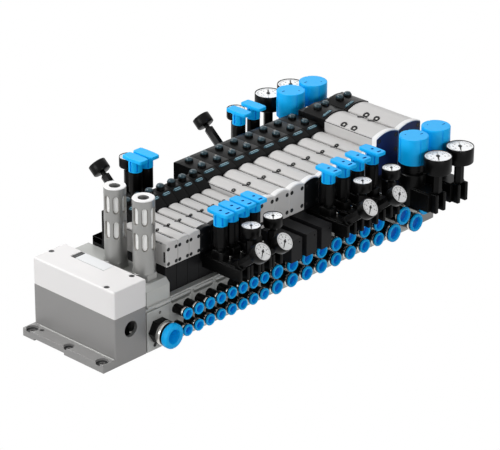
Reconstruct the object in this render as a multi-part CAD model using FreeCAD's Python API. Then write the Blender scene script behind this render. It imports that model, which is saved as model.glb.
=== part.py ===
import FreeCAD, Part
import math
import os
from types import SimpleNamespace

V = FreeCAD.Vector
SAME_PLACE = 0.1

# A modular valve terminal on a row of sub-bases. X runs along the row from the electrical
# end to the large valves, -Y is the side with the push-in fittings, +Z is up. The origin is
# the middle of the four base bolts, on the mounting plane. Millimetres.

# Widths along the row
FLANGE_REACH = 19.6
HOUSING_LENGTH = 52.6
SUPPLY_WIDTH = 38.6
SMALL_PITCH = 19.0
MEDIUM_PITCH = 27.0
LARGE_PITCH = 43.0
SMALL_COUNT = 8
MEDIUM_COUNT = 8
LARGE_COUNT = 2
END_PLATE_WIDTH = 14.0
END_PLATE_ROUND = 4.5
FOOT_REACH = 19.5
MODULE_GAP = 0.4

# Base
BASE_DEPTH = 140.0
BASE_TOP = 61.6
FLANGE_THICKNESS = 10.6
BOLT_INSET = 7.1
BOLT_END_INSET = 9.5
BOLT_HOLE_RADIUS = 3.3
BOLT_RECESS_RADIUS = 7.8
BOLT_RECESS_DEPTH = 3.0
EARTH_HOLE_RADIUS = 2.1
EARTH_RECESS_RADIUS = 6.5
EARTH_INSET = 6.2
EARTH_HOLE_Y = -4.4
PIN_HOLE_RADIUS = 3.2
PIN_END_INSET = 21.5
PIN_HOLE_INSET = 11.6
RELIEF_HEIGHT = 2.5
RELIEF_START = -2.0
RELIEF_END_INSET = 20.0

# Electrical housing and cover
HOUSING_TOP = 63.4
HOUSING_WALL = 5.0
HOUSING_FLOOR = 14.0
COVER_TOP = 98.6
COVER_WALL = 3.5
COVER_EDGE_RADIUS = 2.0
CABLE_HOLE_RADIUS = 10.25
CABLE_HOLE_HEIGHT = 42.4
LABEL_RECESS_LENGTH = 57.5
LABEL_RECESS_WIDTH = 18.5
LABEL_RECESS_DEPTH = 1.2
LABEL_FRONT_INSET = 52.0
LABEL_SIDE_INSET = 1.4
COVER_SCREW_RADIUS = 3.6
COVER_SCREW_SHANK = 2.0
COVER_SCREW_SINK = 2.2
COVER_SCREW_INSET = 5.6
COVER_SCREW_FRONT = 18.4
COVER_SCREW_BACK = 4.4
COVER_SCREW_HEAD = 1.6
SCREW_CLEARANCE = 0.05
SCREW_END_GAP = 5.0
BOSS_WALL = 3.0
BOARD_THICKNESS = 1.6
BOARD_HEIGHT = 44.0
BOARD_POST_RADIUS = 3.0
TERMINAL_HEIGHT = 11.0
TERMINAL_DEPTH = 9.0
TERMINAL_EDGE = 1.5
TERMINAL_COUNT = 8

# Supply plate and silencers
SUPPLY_TOP = 86.0
SUPPLY_CHAMFER = 6.0
SUPPLY_LEDGE_HEIGHT = 61.0
SUPPLY_LEDGE_DEPTH = 2.6
SUPPLY_LEDGE_WIDTH = 3.0
SUPPLY_GROOVE = 5.0
SUPPLY_PORT_HEIGHT = 25.5
SUPPLY_PORT_OFFSET = -2.8
MUFFLER_RADIUS = 13.7
MUFFLER_TOP = 191.0
MUFFLER_BORE = 6.6
MUFFLER_WALL = 2.6
MUFFLER_FRONT = -46.8
MUFFLER_BACK = 1.6
MUFFLER_SLOT_WIDTH = 7.4
MUFFLER_SLOT_LENGTH = 22.0
MUFFLER_SLOT_COUNT = 7
MUFFLER_SLOT_LOW = 137.0
MUFFLER_SLOT_HIGH = 170.0
MUFFLER_HEX = 27.0
MUFFLER_HEX_HEIGHT = 9.0
MUFFLER_FLOOR = 6.0
MUFFLER_THREAD_RADIUS = 10.0
MUFFLER_THREAD_LENGTH = 12.0
THREAD_CLEARANCE = 0.05
THREAD_END_GAP = 1.0

# Long recess with round ends, high on the front of every sub-base
RECESS_HEIGHT = 8.5
RECESS_DEPTH = 9.0
RECESS_TOP_WALL = 2.4
RECESS_END_WALL = 1.6

# Push-in fittings: ring radius, tube radius, height of a port, reach past the base
SMALL_RING = 7.5
SMALL_TUBE = 4.15
SMALL_REACH = 21.0
SMALL_PORT_LOW = 20.3
SMALL_PORT_HIGH = 42.6
MEDIUM_RING = 9.2
MEDIUM_TUBE = 5.1
MEDIUM_REACH = 20.3
MEDIUM_PORT_LOW = 21.2
MEDIUM_PORT_HIGH = 42.4
LARGE_RING = 12.25
LARGE_TUBE = 6.5
LARGE_REACH = 26.0
LARGE_PORT_LOW = 23.8
LARGE_PORT_HIGH = 42.1
LARGE_PORT_STAGGER = 8.95
LARGE_PORT_SHIFT = -2.4
SUPPLY_RING = 16.3
SUPPLY_TUBE = 8.75
SUPPLY_REACH = 26.0
RING_LENGTH = 3.0
TUBE_DEPTH_SHARE = 0.8
BODY_STEP = 1.2

# Stacking plates and regulators
PLATE_TOP = 97.5
PLATE_FRONT_INSET = 3.0
SMALL_PLATE_BACK = 63.0
MEDIUM_PLATE_BACK = 72.9
LARGE_PLATE_BACK = 61.0
BOX_FRONT = 122.3
BOX_BOTTOM = 67.5
BOX_TOP = 97.2
BOX_WIDTH = 18.5
BOX_HOLE_RADIUS = 1.1
BOX_HOLE_INSET = 4.2
BOX_HOLE_DROP = 5.1
BOX_HOLE_DEPTH = 3.0
REGULATOR_FIRST = 3
REGULATOR_LAST = 6
BACK_REGULATORS = (5, 6)
REGULATOR_WIDTH = 18.0
REGULATOR_SHIFT = 2.5
SMALL_KNOB_REACH = 92.0
MEDIUM_KNOB_REACH = 102.0
LARGE_KNOB_REACH = 105.5
LARGE_REGULATOR_SHIFT = -9.0
BLOCK_BOTTOM = 77.5
BLOCK_TOP = 97.0
BLOCK_NOSE = 40.5
NOSE_SLOT_WIDTH = 8.8
NOSE_SLOT_DEPTH = 9.0
LARGE_BLOCK_WIDTH = 40.0
LARGE_BLOCK_BOTTOM = 71.5
LARGE_BLOCK_REACH = 38.5
LARGE_FOOT_WIDTH = 28.0
LARGE_TOWER_RADIUS = 16.5
LARGE_TOWER_TOP = 113.0
LARGE_NOSE_WIDTH = 20.0
LARGE_NOSE = 48.0
BONNET_RADIUS = 8.6
BONNET_BOTTOM = 116.0
NECK_RADIUS = 6.2
LARGE_BONNET_RADIUS = 13.0
LARGE_COLLAR_RADIUS = 15.5
LARGE_COLLAR_BOTTOM = 117.0
KNOB_PIN_RADIUS = 3.0
KNOB_PIN_CLEARANCE = 0.05
KNOB_PIN_LENGTH = 9.0
KNOB_PIN_END_GAP = 1.0

# Adjusting knobs
KNOB_BOTTOM = 140.0
KNOB_TOP = 158.7
WING_LENGTH = 34.6
WING_WIDTH = 15.6
WING_THICKNESS = 4.0
WING_END_WIDTH = 12.4
SKIRT_RADIUS = 8.8
SKIRT_FLUTE_DEPTH = 0.9
SKIRT_FLUTES = 8
LARGE_KNOB_RADIUS = 18.7
LARGE_KNOB_BOTTOM = 125.0
LARGE_KNOB_TOP = 161.5

# Pressure gauges
GAUGE_RADIUS = 12.0
GAUGE_LENGTH = 14.0
GAUGE_UP_REACH = 32.0
GAUGE_UP_TOP = 143.8
GAUGE_NECK_RADIUS = 3.4
GAUGE_NECK_LENGTH = 5.0
GAUGE_HEX = 11.0
GAUGE_TILT_REACH = 70.0
GAUGE_TILT_TOP = 128.4
GAUGE_ANGLE = 40.0
GAUGE_TILT_LENGTH = 46.0
GAUGE_RIM = 1.0
DIAL_SINK = 0.8
LARGE_GAUGE_RADIUS = 18.0
LARGE_GAUGE_LENGTH = 22.0
LARGE_GAUGE_REACH = 40.2
LARGE_GAUGE_TOP = 146.8
SOCKET_RADIUS = 7.0
SOCKET_LENGTH = 12.0

# Valves: front and back of the light body, height of its straight sides, rise of its roof
VALVE_GAP = 0.6
SMALL_VALVE_FRONT = -65.1
SMALL_BODY_BACK = 10.0
SMALL_ROOF = 127.8
SMALL_CROWN = 1.4
MEDIUM_VALVE_FRONT = -72.2
MEDIUM_BODY_BACK = 17.0
MEDIUM_ROOF = 134.0
MEDIUM_CROWN = 3.0
LARGE_VALVE_FRONT = -71.3
LARGE_BODY_BACK = 17.4
LARGE_ROOF = 149.0
LARGE_CROWN = 6.4
CAP_DEPTH = 8.0
CAP_FACE_DEPTH = 0.8
CAP_BORDER = 0.7
LARGE_CAP_BORDER = 3.6

# Pilots: back, top, and the slope that rises from the valve's roof
SMALL_PILOT_BACK = 46.5
SMALL_PILOT_TOP = 141.0
SMALL_PILOT_DROP = 5.0
MEDIUM_PILOT_BACK = 75.9
MEDIUM_PILOT_TOP = 143.0
MEDIUM_PILOT_DROP = 1.0
LARGE_PILOT_BACK = 64.0
LARGE_PILOT_TOP = 150.5
PILOT_SLOPE = 14.0
PILOT_BACK_SLOPE = 8.0
PILOT_REVEAL = 0.4

# Manual override buttons
BUTTON_RADIUS = 3.4
BUTTON_CLEARANCE = 0.08
BUTTON_TOP = 148.3
BUTTON_LENGTH = 7.0
BUTTON_TRAVEL = 1.0
COLLAR_RADIUS = 5.6
BUTTON_RISE = 2.0
SMALL_BUTTON_Y = 31.6
MEDIUM_BUTTON_FRONT = 39.2
MEDIUM_BUTTON_BACK = 61.6
LARGE_BUTTON_Y = 42.5
LARGE_BUTTON_SPREAD = 7.5
LARGE_BUTTON_TOP = 160.0

# Places along the row, worked out from the widths
ROW_LENGTH = (
    FLANGE_REACH + HOUSING_LENGTH + SUPPLY_WIDTH + SMALL_PITCH * SMALL_COUNT
    + MEDIUM_PITCH * MEDIUM_COUNT + LARGE_PITCH * LARGE_COUNT + END_PLATE_WIDTH + FOOT_REACH
)
X_LEFT = -ROW_LENGTH / 2
X_HOUSING = X_LEFT + FLANGE_REACH
X_SUPPLY = X_HOUSING + HOUSING_LENGTH
X_SMALL = X_SUPPLY + SUPPLY_WIDTH
X_MEDIUM = X_SMALL + SMALL_PITCH * SMALL_COUNT
X_LARGE = X_MEDIUM + MEDIUM_PITCH * MEDIUM_COUNT
X_END = X_LARGE + LARGE_PITCH * LARGE_COUNT
X_FOOT = X_END + END_PLATE_WIDTH
X_RIGHT = X_FOOT + FOOT_REACH
Y_FRONT = -BASE_DEPTH / 2
Y_BACK = BASE_DEPTH / 2
X_SUPPLY_MIDDLE = X_SUPPLY + SUPPLY_WIDTH / 2

SMALL = SimpleNamespace(
    name="small", pitch=SMALL_PITCH, count=SMALL_COUNT, start=X_SMALL,
    ring=SMALL_RING, tube=SMALL_TUBE, reach=SMALL_REACH,
    low=SMALL_PORT_LOW, high=SMALL_PORT_HIGH,
    front=SMALL_VALVE_FRONT, body_back=SMALL_BODY_BACK, back=SMALL_PILOT_BACK,
    plate_back=SMALL_PLATE_BACK, roof=SMALL_ROOF, crown=SMALL_CROWN, border=CAP_BORDER,
    pilot_top=SMALL_PILOT_TOP, pilot_drop=SMALL_PILOT_DROP, knob_reach=SMALL_KNOB_REACH,
    buttons=((0.0, SMALL_BUTTON_Y),), button_top=BUTTON_TOP,
)
MEDIUM = SimpleNamespace(
    name="medium", pitch=MEDIUM_PITCH, count=MEDIUM_COUNT, start=X_MEDIUM,
    ring=MEDIUM_RING, tube=MEDIUM_TUBE, reach=MEDIUM_REACH,
    low=MEDIUM_PORT_LOW, high=MEDIUM_PORT_HIGH,
    front=MEDIUM_VALVE_FRONT, body_back=MEDIUM_BODY_BACK, back=MEDIUM_PILOT_BACK,
    plate_back=MEDIUM_PLATE_BACK, roof=MEDIUM_ROOF, crown=MEDIUM_CROWN, border=CAP_BORDER,
    pilot_top=MEDIUM_PILOT_TOP, pilot_drop=MEDIUM_PILOT_DROP, knob_reach=MEDIUM_KNOB_REACH,
    buttons=((0.0, MEDIUM_BUTTON_FRONT), (0.0, MEDIUM_BUTTON_BACK)), button_top=BUTTON_TOP,
)
LARGE = SimpleNamespace(
    name="large", pitch=LARGE_PITCH, count=LARGE_COUNT, start=X_LARGE,
    ring=LARGE_RING, tube=LARGE_TUBE, reach=LARGE_REACH,
    low=LARGE_PORT_LOW, high=LARGE_PORT_HIGH,
    front=LARGE_VALVE_FRONT, body_back=LARGE_BODY_BACK, back=LARGE_PILOT_BACK,
    plate_back=LARGE_PLATE_BACK, roof=LARGE_ROOF, crown=LARGE_CROWN, border=LARGE_CAP_BORDER,
    pilot_top=LARGE_PILOT_TOP, knob_reach=LARGE_KNOB_REACH,
    buttons=((-LARGE_BUTTON_SPREAD, LARGE_BUTTON_Y), (LARGE_BUTTON_SPREAD, LARGE_BUTTON_Y)),
    button_top=LARGE_BUTTON_TOP,
)
FAMILIES = (SMALL, MEDIUM, LARGE)


def box(x0, x1, y0, y1, z0, z1):
    return Part.makeBox(x1 - x0, y1 - y0, z1 - z0, V(x0, y0, z0))


def rod(radius, start, end):
    """Round bar between two points."""
    axis = end.sub(start)
    return Part.makeCylinder(radius, axis.Length, start, axis)


def prism(points, sweep):
    """Closed polygon pushed along a vector."""
    outline = Part.makePolygon([V(*point) for point in points] + [V(*points[0])])
    return Part.Face(outline).extrude(sweep)


def joined(shapes):
    """One solid made of pieces that meet or overlap."""
    return shapes[0].fuse(shapes[1:]).removeSplitter()


def export(name, shapes):
    """Write one node, as a single solid or as a group of separate solids."""
    shape = shapes[0] if len(shapes) == 1 else Part.makeCompound(shapes)
    shape.exportStep("parts/" + name + ".step")


def station_x(family, index):
    """Middle of a valve position along the row."""
    return family.start + family.pitch * (index + 0.5)


def bolt_y():
    return (Y_FRONT + BOLT_END_INSET, Y_BACK - BOLT_END_INSET)


def recessed_hole(x, y, radius, recess_radius):
    """Cutter for a hole in a flange, sunk in a shallow round recess that breaks the outer edge."""
    hole = Part.makeCylinder(radius, FLANGE_THICKNESS, V(x, y, 0))
    recess = Part.makeCylinder(recess_radius, BOLT_RECESS_DEPTH,
                               V(x, y, FLANGE_THICKNESS - BOLT_RECESS_DEPTH))
    return joined([hole, recess])


def flange_cutters(x_edge, inward):
    """Two bolt holes and the earth screw's hole between them."""
    cutters = [recessed_hole(x_edge + inward * BOLT_INSET, y, BOLT_HOLE_RADIUS,
                             BOLT_RECESS_RADIUS) for y in bolt_y()]
    return cutters + [recessed_hole(x_edge + inward * EARTH_INSET, EARTH_HOLE_Y,
                                    EARTH_HOLE_RADIUS, EARTH_RECESS_RADIUS)]


def electrical_housing():
    """Cast lower housing with its flange, hollow for the terminals."""
    flange = box(X_LEFT, X_HOUSING + COVER_EDGE_RADIUS, Y_FRONT, Y_BACK, 0, FLANGE_THICKNESS)
    body = box(X_HOUSING, X_SUPPLY - MODULE_GAP, Y_FRONT, Y_BACK, 0, HOUSING_TOP)
    upright = [edge for edge in body.Edges if abs(edge.CenterOfMass.z - HOUSING_TOP / 2) < SAME_PLACE]
    body = body.makeFillet(COVER_EDGE_RADIUS, upright)
    housing = joined([flange, body])
    cavity = box(X_HOUSING + HOUSING_WALL, X_SUPPLY - MODULE_GAP - HOUSING_WALL,
                 Y_FRONT + HOUSING_WALL, Y_BACK - HOUSING_WALL, HOUSING_FLOOR, HOUSING_TOP)
    entry = rod(CABLE_HOLE_RADIUS, V(cable_x(), Y_FRONT, CABLE_HOLE_HEIGHT),
                V(cable_x(), Y_FRONT + HOUSING_WALL, CABLE_HOLE_HEIGHT))
    relief = box(X_LEFT, X_SUPPLY, RELIEF_START, Y_BACK - RELIEF_END_INSET, 0, RELIEF_HEIGHT)
    pin_hole = Part.makeCylinder(PIN_HOLE_RADIUS, FLANGE_THICKNESS,
                                 V(X_LEFT + PIN_HOLE_INSET, Y_BACK - PIN_END_INSET, 0))
    housing = housing.cut(flange_cutters(X_LEFT, 1)
                          + [cavity, entry, relief, pin_hole])
    posts = [Part.makeCylinder(BOARD_POST_RADIUS, BOARD_HEIGHT - HOUSING_FLOOR,
                               V(x, y, HOUSING_FLOOR)) for x, y in board_posts()]
    seats = [screw_column(x, y) for x, y in cover_screw_places()]
    holes = [screw_hole(x, y) for x, y in cover_screw_places()]
    return joined([housing] + posts + seats).cut(holes)


def cable_x():
    return X_HOUSING + (HOUSING_LENGTH - MODULE_GAP) / 2


def board_posts():
    x = cable_x()
    inset = HOUSING_WALL + 4 * BOARD_POST_RADIUS
    return ((x, Y_FRONT + 2 * inset), (x, Y_BACK - inset))


def cover_screw_places():
    left = X_HOUSING + COVER_SCREW_INSET
    right = X_SUPPLY - MODULE_GAP - COVER_SCREW_INSET
    front = Y_FRONT + COVER_SCREW_FRONT
    return ((left, front), (right, front), (cable_x(), Y_BACK - COVER_SCREW_BACK))


def screw_column(x, y):
    """Boss in the housing that takes one cover screw."""
    radius = COVER_SCREW_SHANK + BOSS_WALL
    boss = Part.makeCylinder(radius, HOUSING_TOP - HOUSING_FLOOR, V(x, y, HOUSING_FLOOR))
    inside = box(X_HOUSING, X_SUPPLY - MODULE_GAP, Y_FRONT, Y_BACK, HOUSING_FLOOR, HOUSING_TOP)
    return boss.common(inside)


def screw_hole(x, y):
    return Part.makeCylinder(COVER_SCREW_SHANK + SCREW_CLEARANCE, HOUSING_TOP,
                             V(x, y, HOUSING_FLOOR + SCREW_END_GAP))


def terminal_board():
    """Circuit board with its row of wire terminals, on posts inside the housing."""
    side = HOUSING_WALL + 2 * COVER_SCREW_SHANK + BOSS_WALL
    x0 = X_HOUSING + side
    x1 = X_SUPPLY - MODULE_GAP - side
    posts = board_posts()
    y0 = posts[0][1] - 2 * BOARD_POST_RADIUS
    y1 = posts[1][1] + BOARD_POST_RADIUS
    top = BOARD_HEIGHT + BOARD_THICKNESS
    board = box(x0, x1, y0, y1, BOARD_HEIGHT, top)
    step = (y1 - y0 - TERMINAL_DEPTH) / (TERMINAL_COUNT - 1)
    blocks = [box(x0 + TERMINAL_EDGE, x1 - TERMINAL_EDGE, y0 + step * i,
                  y0 + step * i + TERMINAL_DEPTH, top, top + TERMINAL_HEIGHT)
              for i in range(TERMINAL_COUNT)]
    return joined([board] + blocks)


def electrical_cover():
    """Moulded lid: a shell with rounded edges, a lip, and a bare recess for an inscription."""
    x0, x1 = X_HOUSING, X_SUPPLY - MODULE_GAP
    lid = box(x0, x1, Y_FRONT, Y_BACK, HOUSING_TOP, COVER_TOP)
    rounded = [edge for edge in lid.Edges if edge.CenterOfMass.z > HOUSING_TOP + SAME_PLACE]
    lid = lid.makeFillet(COVER_EDGE_RADIUS, rounded)
    hollow = box(x0 + COVER_WALL, x1 - COVER_WALL, Y_FRONT + COVER_WALL, Y_BACK - COVER_WALL,
                 HOUSING_TOP, COVER_TOP - COVER_WALL)
    recess_x = x1 - LABEL_SIDE_INSET - LABEL_RECESS_WIDTH
    recess_y = Y_FRONT + LABEL_FRONT_INSET
    recess = box(recess_x, recess_x + LABEL_RECESS_WIDTH, recess_y,
                 recess_y + LABEL_RECESS_LENGTH, COVER_TOP - LABEL_RECESS_DEPTH, COVER_TOP)
    columns = []
    cutters = [recess]
    for x, y in cover_screw_places():
        columns.append(Part.makeCylinder(COVER_SCREW_RADIUS + COVER_WALL,
                                         COVER_TOP - COVER_WALL - HOUSING_TOP,
                                         V(x, y, HOUSING_TOP)))
        cutters.append(Part.makeCylinder(COVER_SCREW_RADIUS + SCREW_CLEARANCE, COVER_SCREW_SINK,
                                         V(x, y, COVER_TOP - COVER_SCREW_SINK)))
        cutters.append(Part.makeCylinder(COVER_SCREW_SHANK + SCREW_CLEARANCE,
                                         COVER_TOP - HOUSING_TOP, V(x, y, HOUSING_TOP)))
    outside = box(x0, x1, Y_FRONT, Y_BACK, HOUSING_TOP, COVER_TOP)
    columns = [column.common(outside) for column in columns]
    return joined([lid.cut(hollow)] + columns).cut(cutters)


def cover_screws():
    """Screws that hold the cover down."""
    screws = []
    shank_bottom = HOUSING_FLOOR + 2 * SCREW_END_GAP
    seat = COVER_TOP - COVER_SCREW_SINK
    for x, y in cover_screw_places():
        head = Part.makeCylinder(COVER_SCREW_RADIUS, COVER_SCREW_HEAD, V(x, y, seat))
        shank = Part.makeCylinder(COVER_SCREW_SHANK, seat - shank_bottom, V(x, y, shank_bottom))
        screws.append(joined([head, shank]))
    return screws


def supply_plate():
    """Plate that feeds the row with air and carries the two silencers."""
    x0, x1 = X_SUPPLY, X_SMALL - MODULE_GAP
    ledge_bottom = SUPPLY_LEDGE_HEIGHT - SUPPLY_LEDGE_WIDTH
    groove_bottom = ledge_bottom - SUPPLY_GROOVE
    profile = [(x0, Y_FRONT, 0), (x0, Y_BACK, 0), (x0, Y_BACK, SUPPLY_TOP),
               (x0, Y_FRONT + SUPPLY_CHAMFER, SUPPLY_TOP),
               (x0, Y_FRONT, SUPPLY_TOP - SUPPLY_CHAMFER),
               (x0, Y_FRONT, SUPPLY_LEDGE_HEIGHT),
               (x0, Y_FRONT - SUPPLY_LEDGE_DEPTH, SUPPLY_LEDGE_HEIGHT),
               (x0, Y_FRONT - SUPPLY_LEDGE_DEPTH, ledge_bottom),
               (x0, Y_FRONT + SUPPLY_LEDGE_DEPTH, ledge_bottom),
               (x0, Y_FRONT + SUPPLY_LEDGE_DEPTH, groove_bottom),
               (x0, Y_FRONT, groove_bottom)]
    plate = prism(profile, V(x1 - x0, 0, 0))
    sockets = [Part.makeCylinder(MUFFLER_THREAD_RADIUS + THREAD_CLEARANCE,
                                 MUFFLER_THREAD_LENGTH + THREAD_END_GAP,
                                 V(X_SUPPLY_MIDDLE, y,
                                   SUPPLY_TOP - MUFFLER_THREAD_LENGTH - THREAD_END_GAP))
               for y in (MUFFLER_FRONT, MUFFLER_BACK)]
    return plate.cut(sockets)


def muffler(y):
    """Sintered silencer with two rows of round-ended slots, open at the top."""
    x = X_SUPPLY_MIDDLE
    tube = Part.makeCylinder(MUFFLER_RADIUS, MUFFLER_TOP - SUPPLY_TOP - MUFFLER_HEX_HEIGHT,
                             V(x, y, SUPPLY_TOP + MUFFLER_HEX_HEIGHT))
    nut = hexagon(MUFFLER_HEX, V(x, y, SUPPLY_TOP), V(x, y, SUPPLY_TOP + MUFFLER_HEX_HEIGHT))
    thread = Part.makeCylinder(MUFFLER_THREAD_RADIUS, MUFFLER_THREAD_LENGTH,
                               V(x, y, SUPPLY_TOP - MUFFLER_THREAD_LENGTH))
    bore_bottom = SUPPLY_TOP + MUFFLER_HEX_HEIGHT + MUFFLER_FLOOR
    bore = Part.makeCylinder(MUFFLER_BORE, MUFFLER_TOP - bore_bottom, V(x, y, bore_bottom))
    body = joined([tube, nut, thread]).cut(bore)
    return body.cut([muffler_slot(x, y, height, turn)
                     for height in (MUFFLER_SLOT_LOW, MUFFLER_SLOT_HIGH)
                     for turn in range(MUFFLER_SLOT_COUNT)])


def muffler_slot(x, y, height, turn):
    """Cutter for one slot, as deep as the outer wall."""
    half = MUFFLER_SLOT_WIDTH / 2
    reach = MUFFLER_RADIUS - MUFFLER_WALL
    straight = (MUFFLER_SLOT_LENGTH - MUFFLER_SLOT_WIDTH) / 2
    slab = Part.makeBox(MUFFLER_WALL * 2, MUFFLER_SLOT_WIDTH, 2 * straight,
                        V(reach, -half, height - straight))
    ends = [Part.makeCylinder(half, MUFFLER_WALL * 2, V(reach, 0, height + side * straight),
                              V(1, 0, 0)) for side in (-1, 1)]
    cutter = joined([slab] + ends)
    cutter.rotate(V(0, 0, 0), V(0, 0, 1), 360 / MUFFLER_SLOT_COUNT * turn)
    cutter.translate(V(x, y, 0))
    return cutter


def sub_base(x0, x1):
    """Manifold block for two valves, with a long round-ended recess in its front."""
    block = box(x0, x1 - MODULE_GAP, Y_FRONT, Y_BACK, 0, BASE_TOP)
    radius = RECESS_HEIGHT / 2
    left = x0 + RECESS_END_WALL + radius
    right = x1 - MODULE_GAP - RECESS_END_WALL - radius
    middle = BASE_TOP - RECESS_TOP_WALL - radius
    floor = Y_FRONT + RECESS_DEPTH
    cutters = [box(left, right, Y_FRONT, floor, middle - radius, middle + radius)]
    cutters += [rod(radius, V(x, Y_FRONT, middle), V(x, floor, middle)) for x in (left, right)]
    return block.cut(joined(cutters))


def sub_base_edges():
    """Left and right edge of each sub-base along the row."""
    edges = []
    for family in (SMALL, MEDIUM):
        for pair in range(family.count // 2):
            start = family.start + 2 * family.pitch * pair
            edges.append((start, start + 2 * family.pitch))
    for index in range(LARGE.count):
        start = LARGE.start + LARGE.pitch * index
        edges.append((start, start + LARGE.pitch))
    return edges


def end_plate():
    """Right end plate with its foot."""
    plate = box(X_END, X_FOOT, Y_FRONT, Y_BACK, 0, BASE_TOP)
    plate = plate.makeFillet(END_PLATE_ROUND, [edge for edge in plate.Edges
                             if abs(edge.CenterOfMass.x - X_FOOT) < SAME_PLACE
                             and abs(edge.CenterOfMass.z - BASE_TOP) < SAME_PLACE])
    foot = box(X_FOOT - END_PLATE_WIDTH / 2, X_RIGHT, Y_FRONT, Y_BACK, 0, FLANGE_THICKNESS)
    return joined([plate, foot]).cut(flange_cutters(X_RIGHT, -1))


def fitting(x, z, ring, tube, reach):
    """Push-in fitting, lying along Y with its mouth to the front."""
    depth = reach * TUBE_DEPTH_SHARE
    face = Y_FRONT - reach
    profile = [(tube, 0), (ring, 0), (ring, RING_LENGTH), (ring - BODY_STEP, RING_LENGTH),
               (ring - BODY_STEP, reach), (0, reach), (0, depth), (tube, depth)]
    outline = Part.makePolygon([V(r, y, 0) for r, y in profile + profile[:1]])
    body = Part.Face(outline).revolve(V(0, 0, 0), V(0, 1, 0), 360)
    body.translate(V(x, face, z))
    return body


def port_places():
    """Middle, ring, tube and reach of every push-in port along the row."""
    places = []
    for family in (SMALL, MEDIUM):
        for index in range(family.count):
            for height in (family.low, family.high):
                places.append((station_x(family, index), height, family))
    for index in range(LARGE.count):
        middle = station_x(LARGE, index) + LARGE_PORT_SHIFT
        places.append((middle - LARGE_PORT_STAGGER, LARGE.low, LARGE))
        places.append((middle + LARGE_PORT_STAGGER, LARGE.high, LARGE))
    return places


def push_in_fittings():
    fittings = [fitting(x, z, family.ring, family.tube, family.reach)
                for x, z, family in port_places()]
    supply = fitting(X_SUPPLY_MIDDLE + SUPPLY_PORT_OFFSET, SUPPLY_PORT_HEIGHT,
                     SUPPLY_RING, SUPPLY_TUBE, SUPPLY_REACH)
    return fittings + [supply]


def has_regulator(family, index, side):
    """Which positions carry a regulator on the front (-1) or at the back (1)."""
    if family is LARGE:
        return True
    if side < 0:
        return REGULATOR_FIRST <= index <= REGULATOR_LAST
    return index in BACK_REGULATORS


def plain_plate(family, index):
    """Stacking plate between a sub-base and a valve."""
    half = (family.pitch - VALVE_GAP) / 2
    x = station_x(family, index)
    plate = box(x - half, x + half, family.front + PLATE_FRONT_INSET, family.plate_back,
                BASE_TOP, PLATE_TOP)
    if family is MEDIUM and index < REGULATOR_FIRST:
        return joined([plate, box_front(x)])
    return plate


def box_front(x):
    """Closed box that stands out in front of a medium stacking plate."""
    half = BOX_WIDTH / 2
    front = box(x - half, x + half, -BOX_FRONT, MEDIUM.front + 2 * PLATE_FRONT_INSET,
                BOX_BOTTOM, BOX_TOP)
    hole_x = x + half - BOX_HOLE_INSET
    hole_z = BOX_TOP - BOX_HOLE_DROP
    hole = rod(BOX_HOLE_RADIUS, V(hole_x, -BOX_FRONT, hole_z),
               V(hole_x, BOX_HOLE_DEPTH - BOX_FRONT, hole_z))
    return front.cut(hole)


def stacking_plates():
    return [plain_plate(family, index) for family in FAMILIES for index in range(family.count)]


def regulator_centre(family):
    return LARGE_REGULATOR_SHIFT if family is LARGE else REGULATOR_SHIFT


def knob_y(family, side):
    return regulator_centre(family) + side * family.knob_reach


def span(y, side, reach0, reach1):
    """Two Y places at given distances outward from y, in rising order."""
    return sorted((y + side * reach0, y + side * reach1))


def plate_end(family, side):
    return family.front + PLATE_FRONT_INSET if side < 0 else family.plate_back


def regulator_body(family, index, side):
    """Body of one pressure regulator, with its bonnet and the pin that the knob turns on."""
    x = station_x(family, index)
    y = knob_y(family, side)
    inner = side * (plate_end(family, side) - y)
    if family is LARGE:
        return large_regulator(x, y, side, inner)
    half = REGULATOR_WIDTH / 2
    y0, y1 = span(y, side, inner, BLOCK_NOSE)
    block = box(x - half, x + half, y0, y1, BLOCK_BOTTOM, BLOCK_TOP)
    s0, s1 = span(y, side, BLOCK_NOSE - NOSE_SLOT_DEPTH, BLOCK_NOSE)
    slot = box(x - NOSE_SLOT_WIDTH / 2, x + NOSE_SLOT_WIDTH / 2, s0, s1, BLOCK_BOTTOM, BLOCK_TOP)
    neck = Part.makeCylinder(NECK_RADIUS, BONNET_BOTTOM - BLOCK_TOP, V(x, y, BLOCK_TOP))
    bonnet = Part.makeCylinder(BONNET_RADIUS, KNOB_BOTTOM - BONNET_BOTTOM,
                               V(x, y, BONNET_BOTTOM))
    pin = Part.makeCylinder(KNOB_PIN_RADIUS, KNOB_PIN_LENGTH, V(x, y, KNOB_BOTTOM))
    pieces = [block.cut(slot), neck, bonnet, pin]
    if (index - REGULATOR_FIRST) % 2 == 0:
        pieces.append(gauge_socket(family, index, side))
    return joined(pieces)


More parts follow.
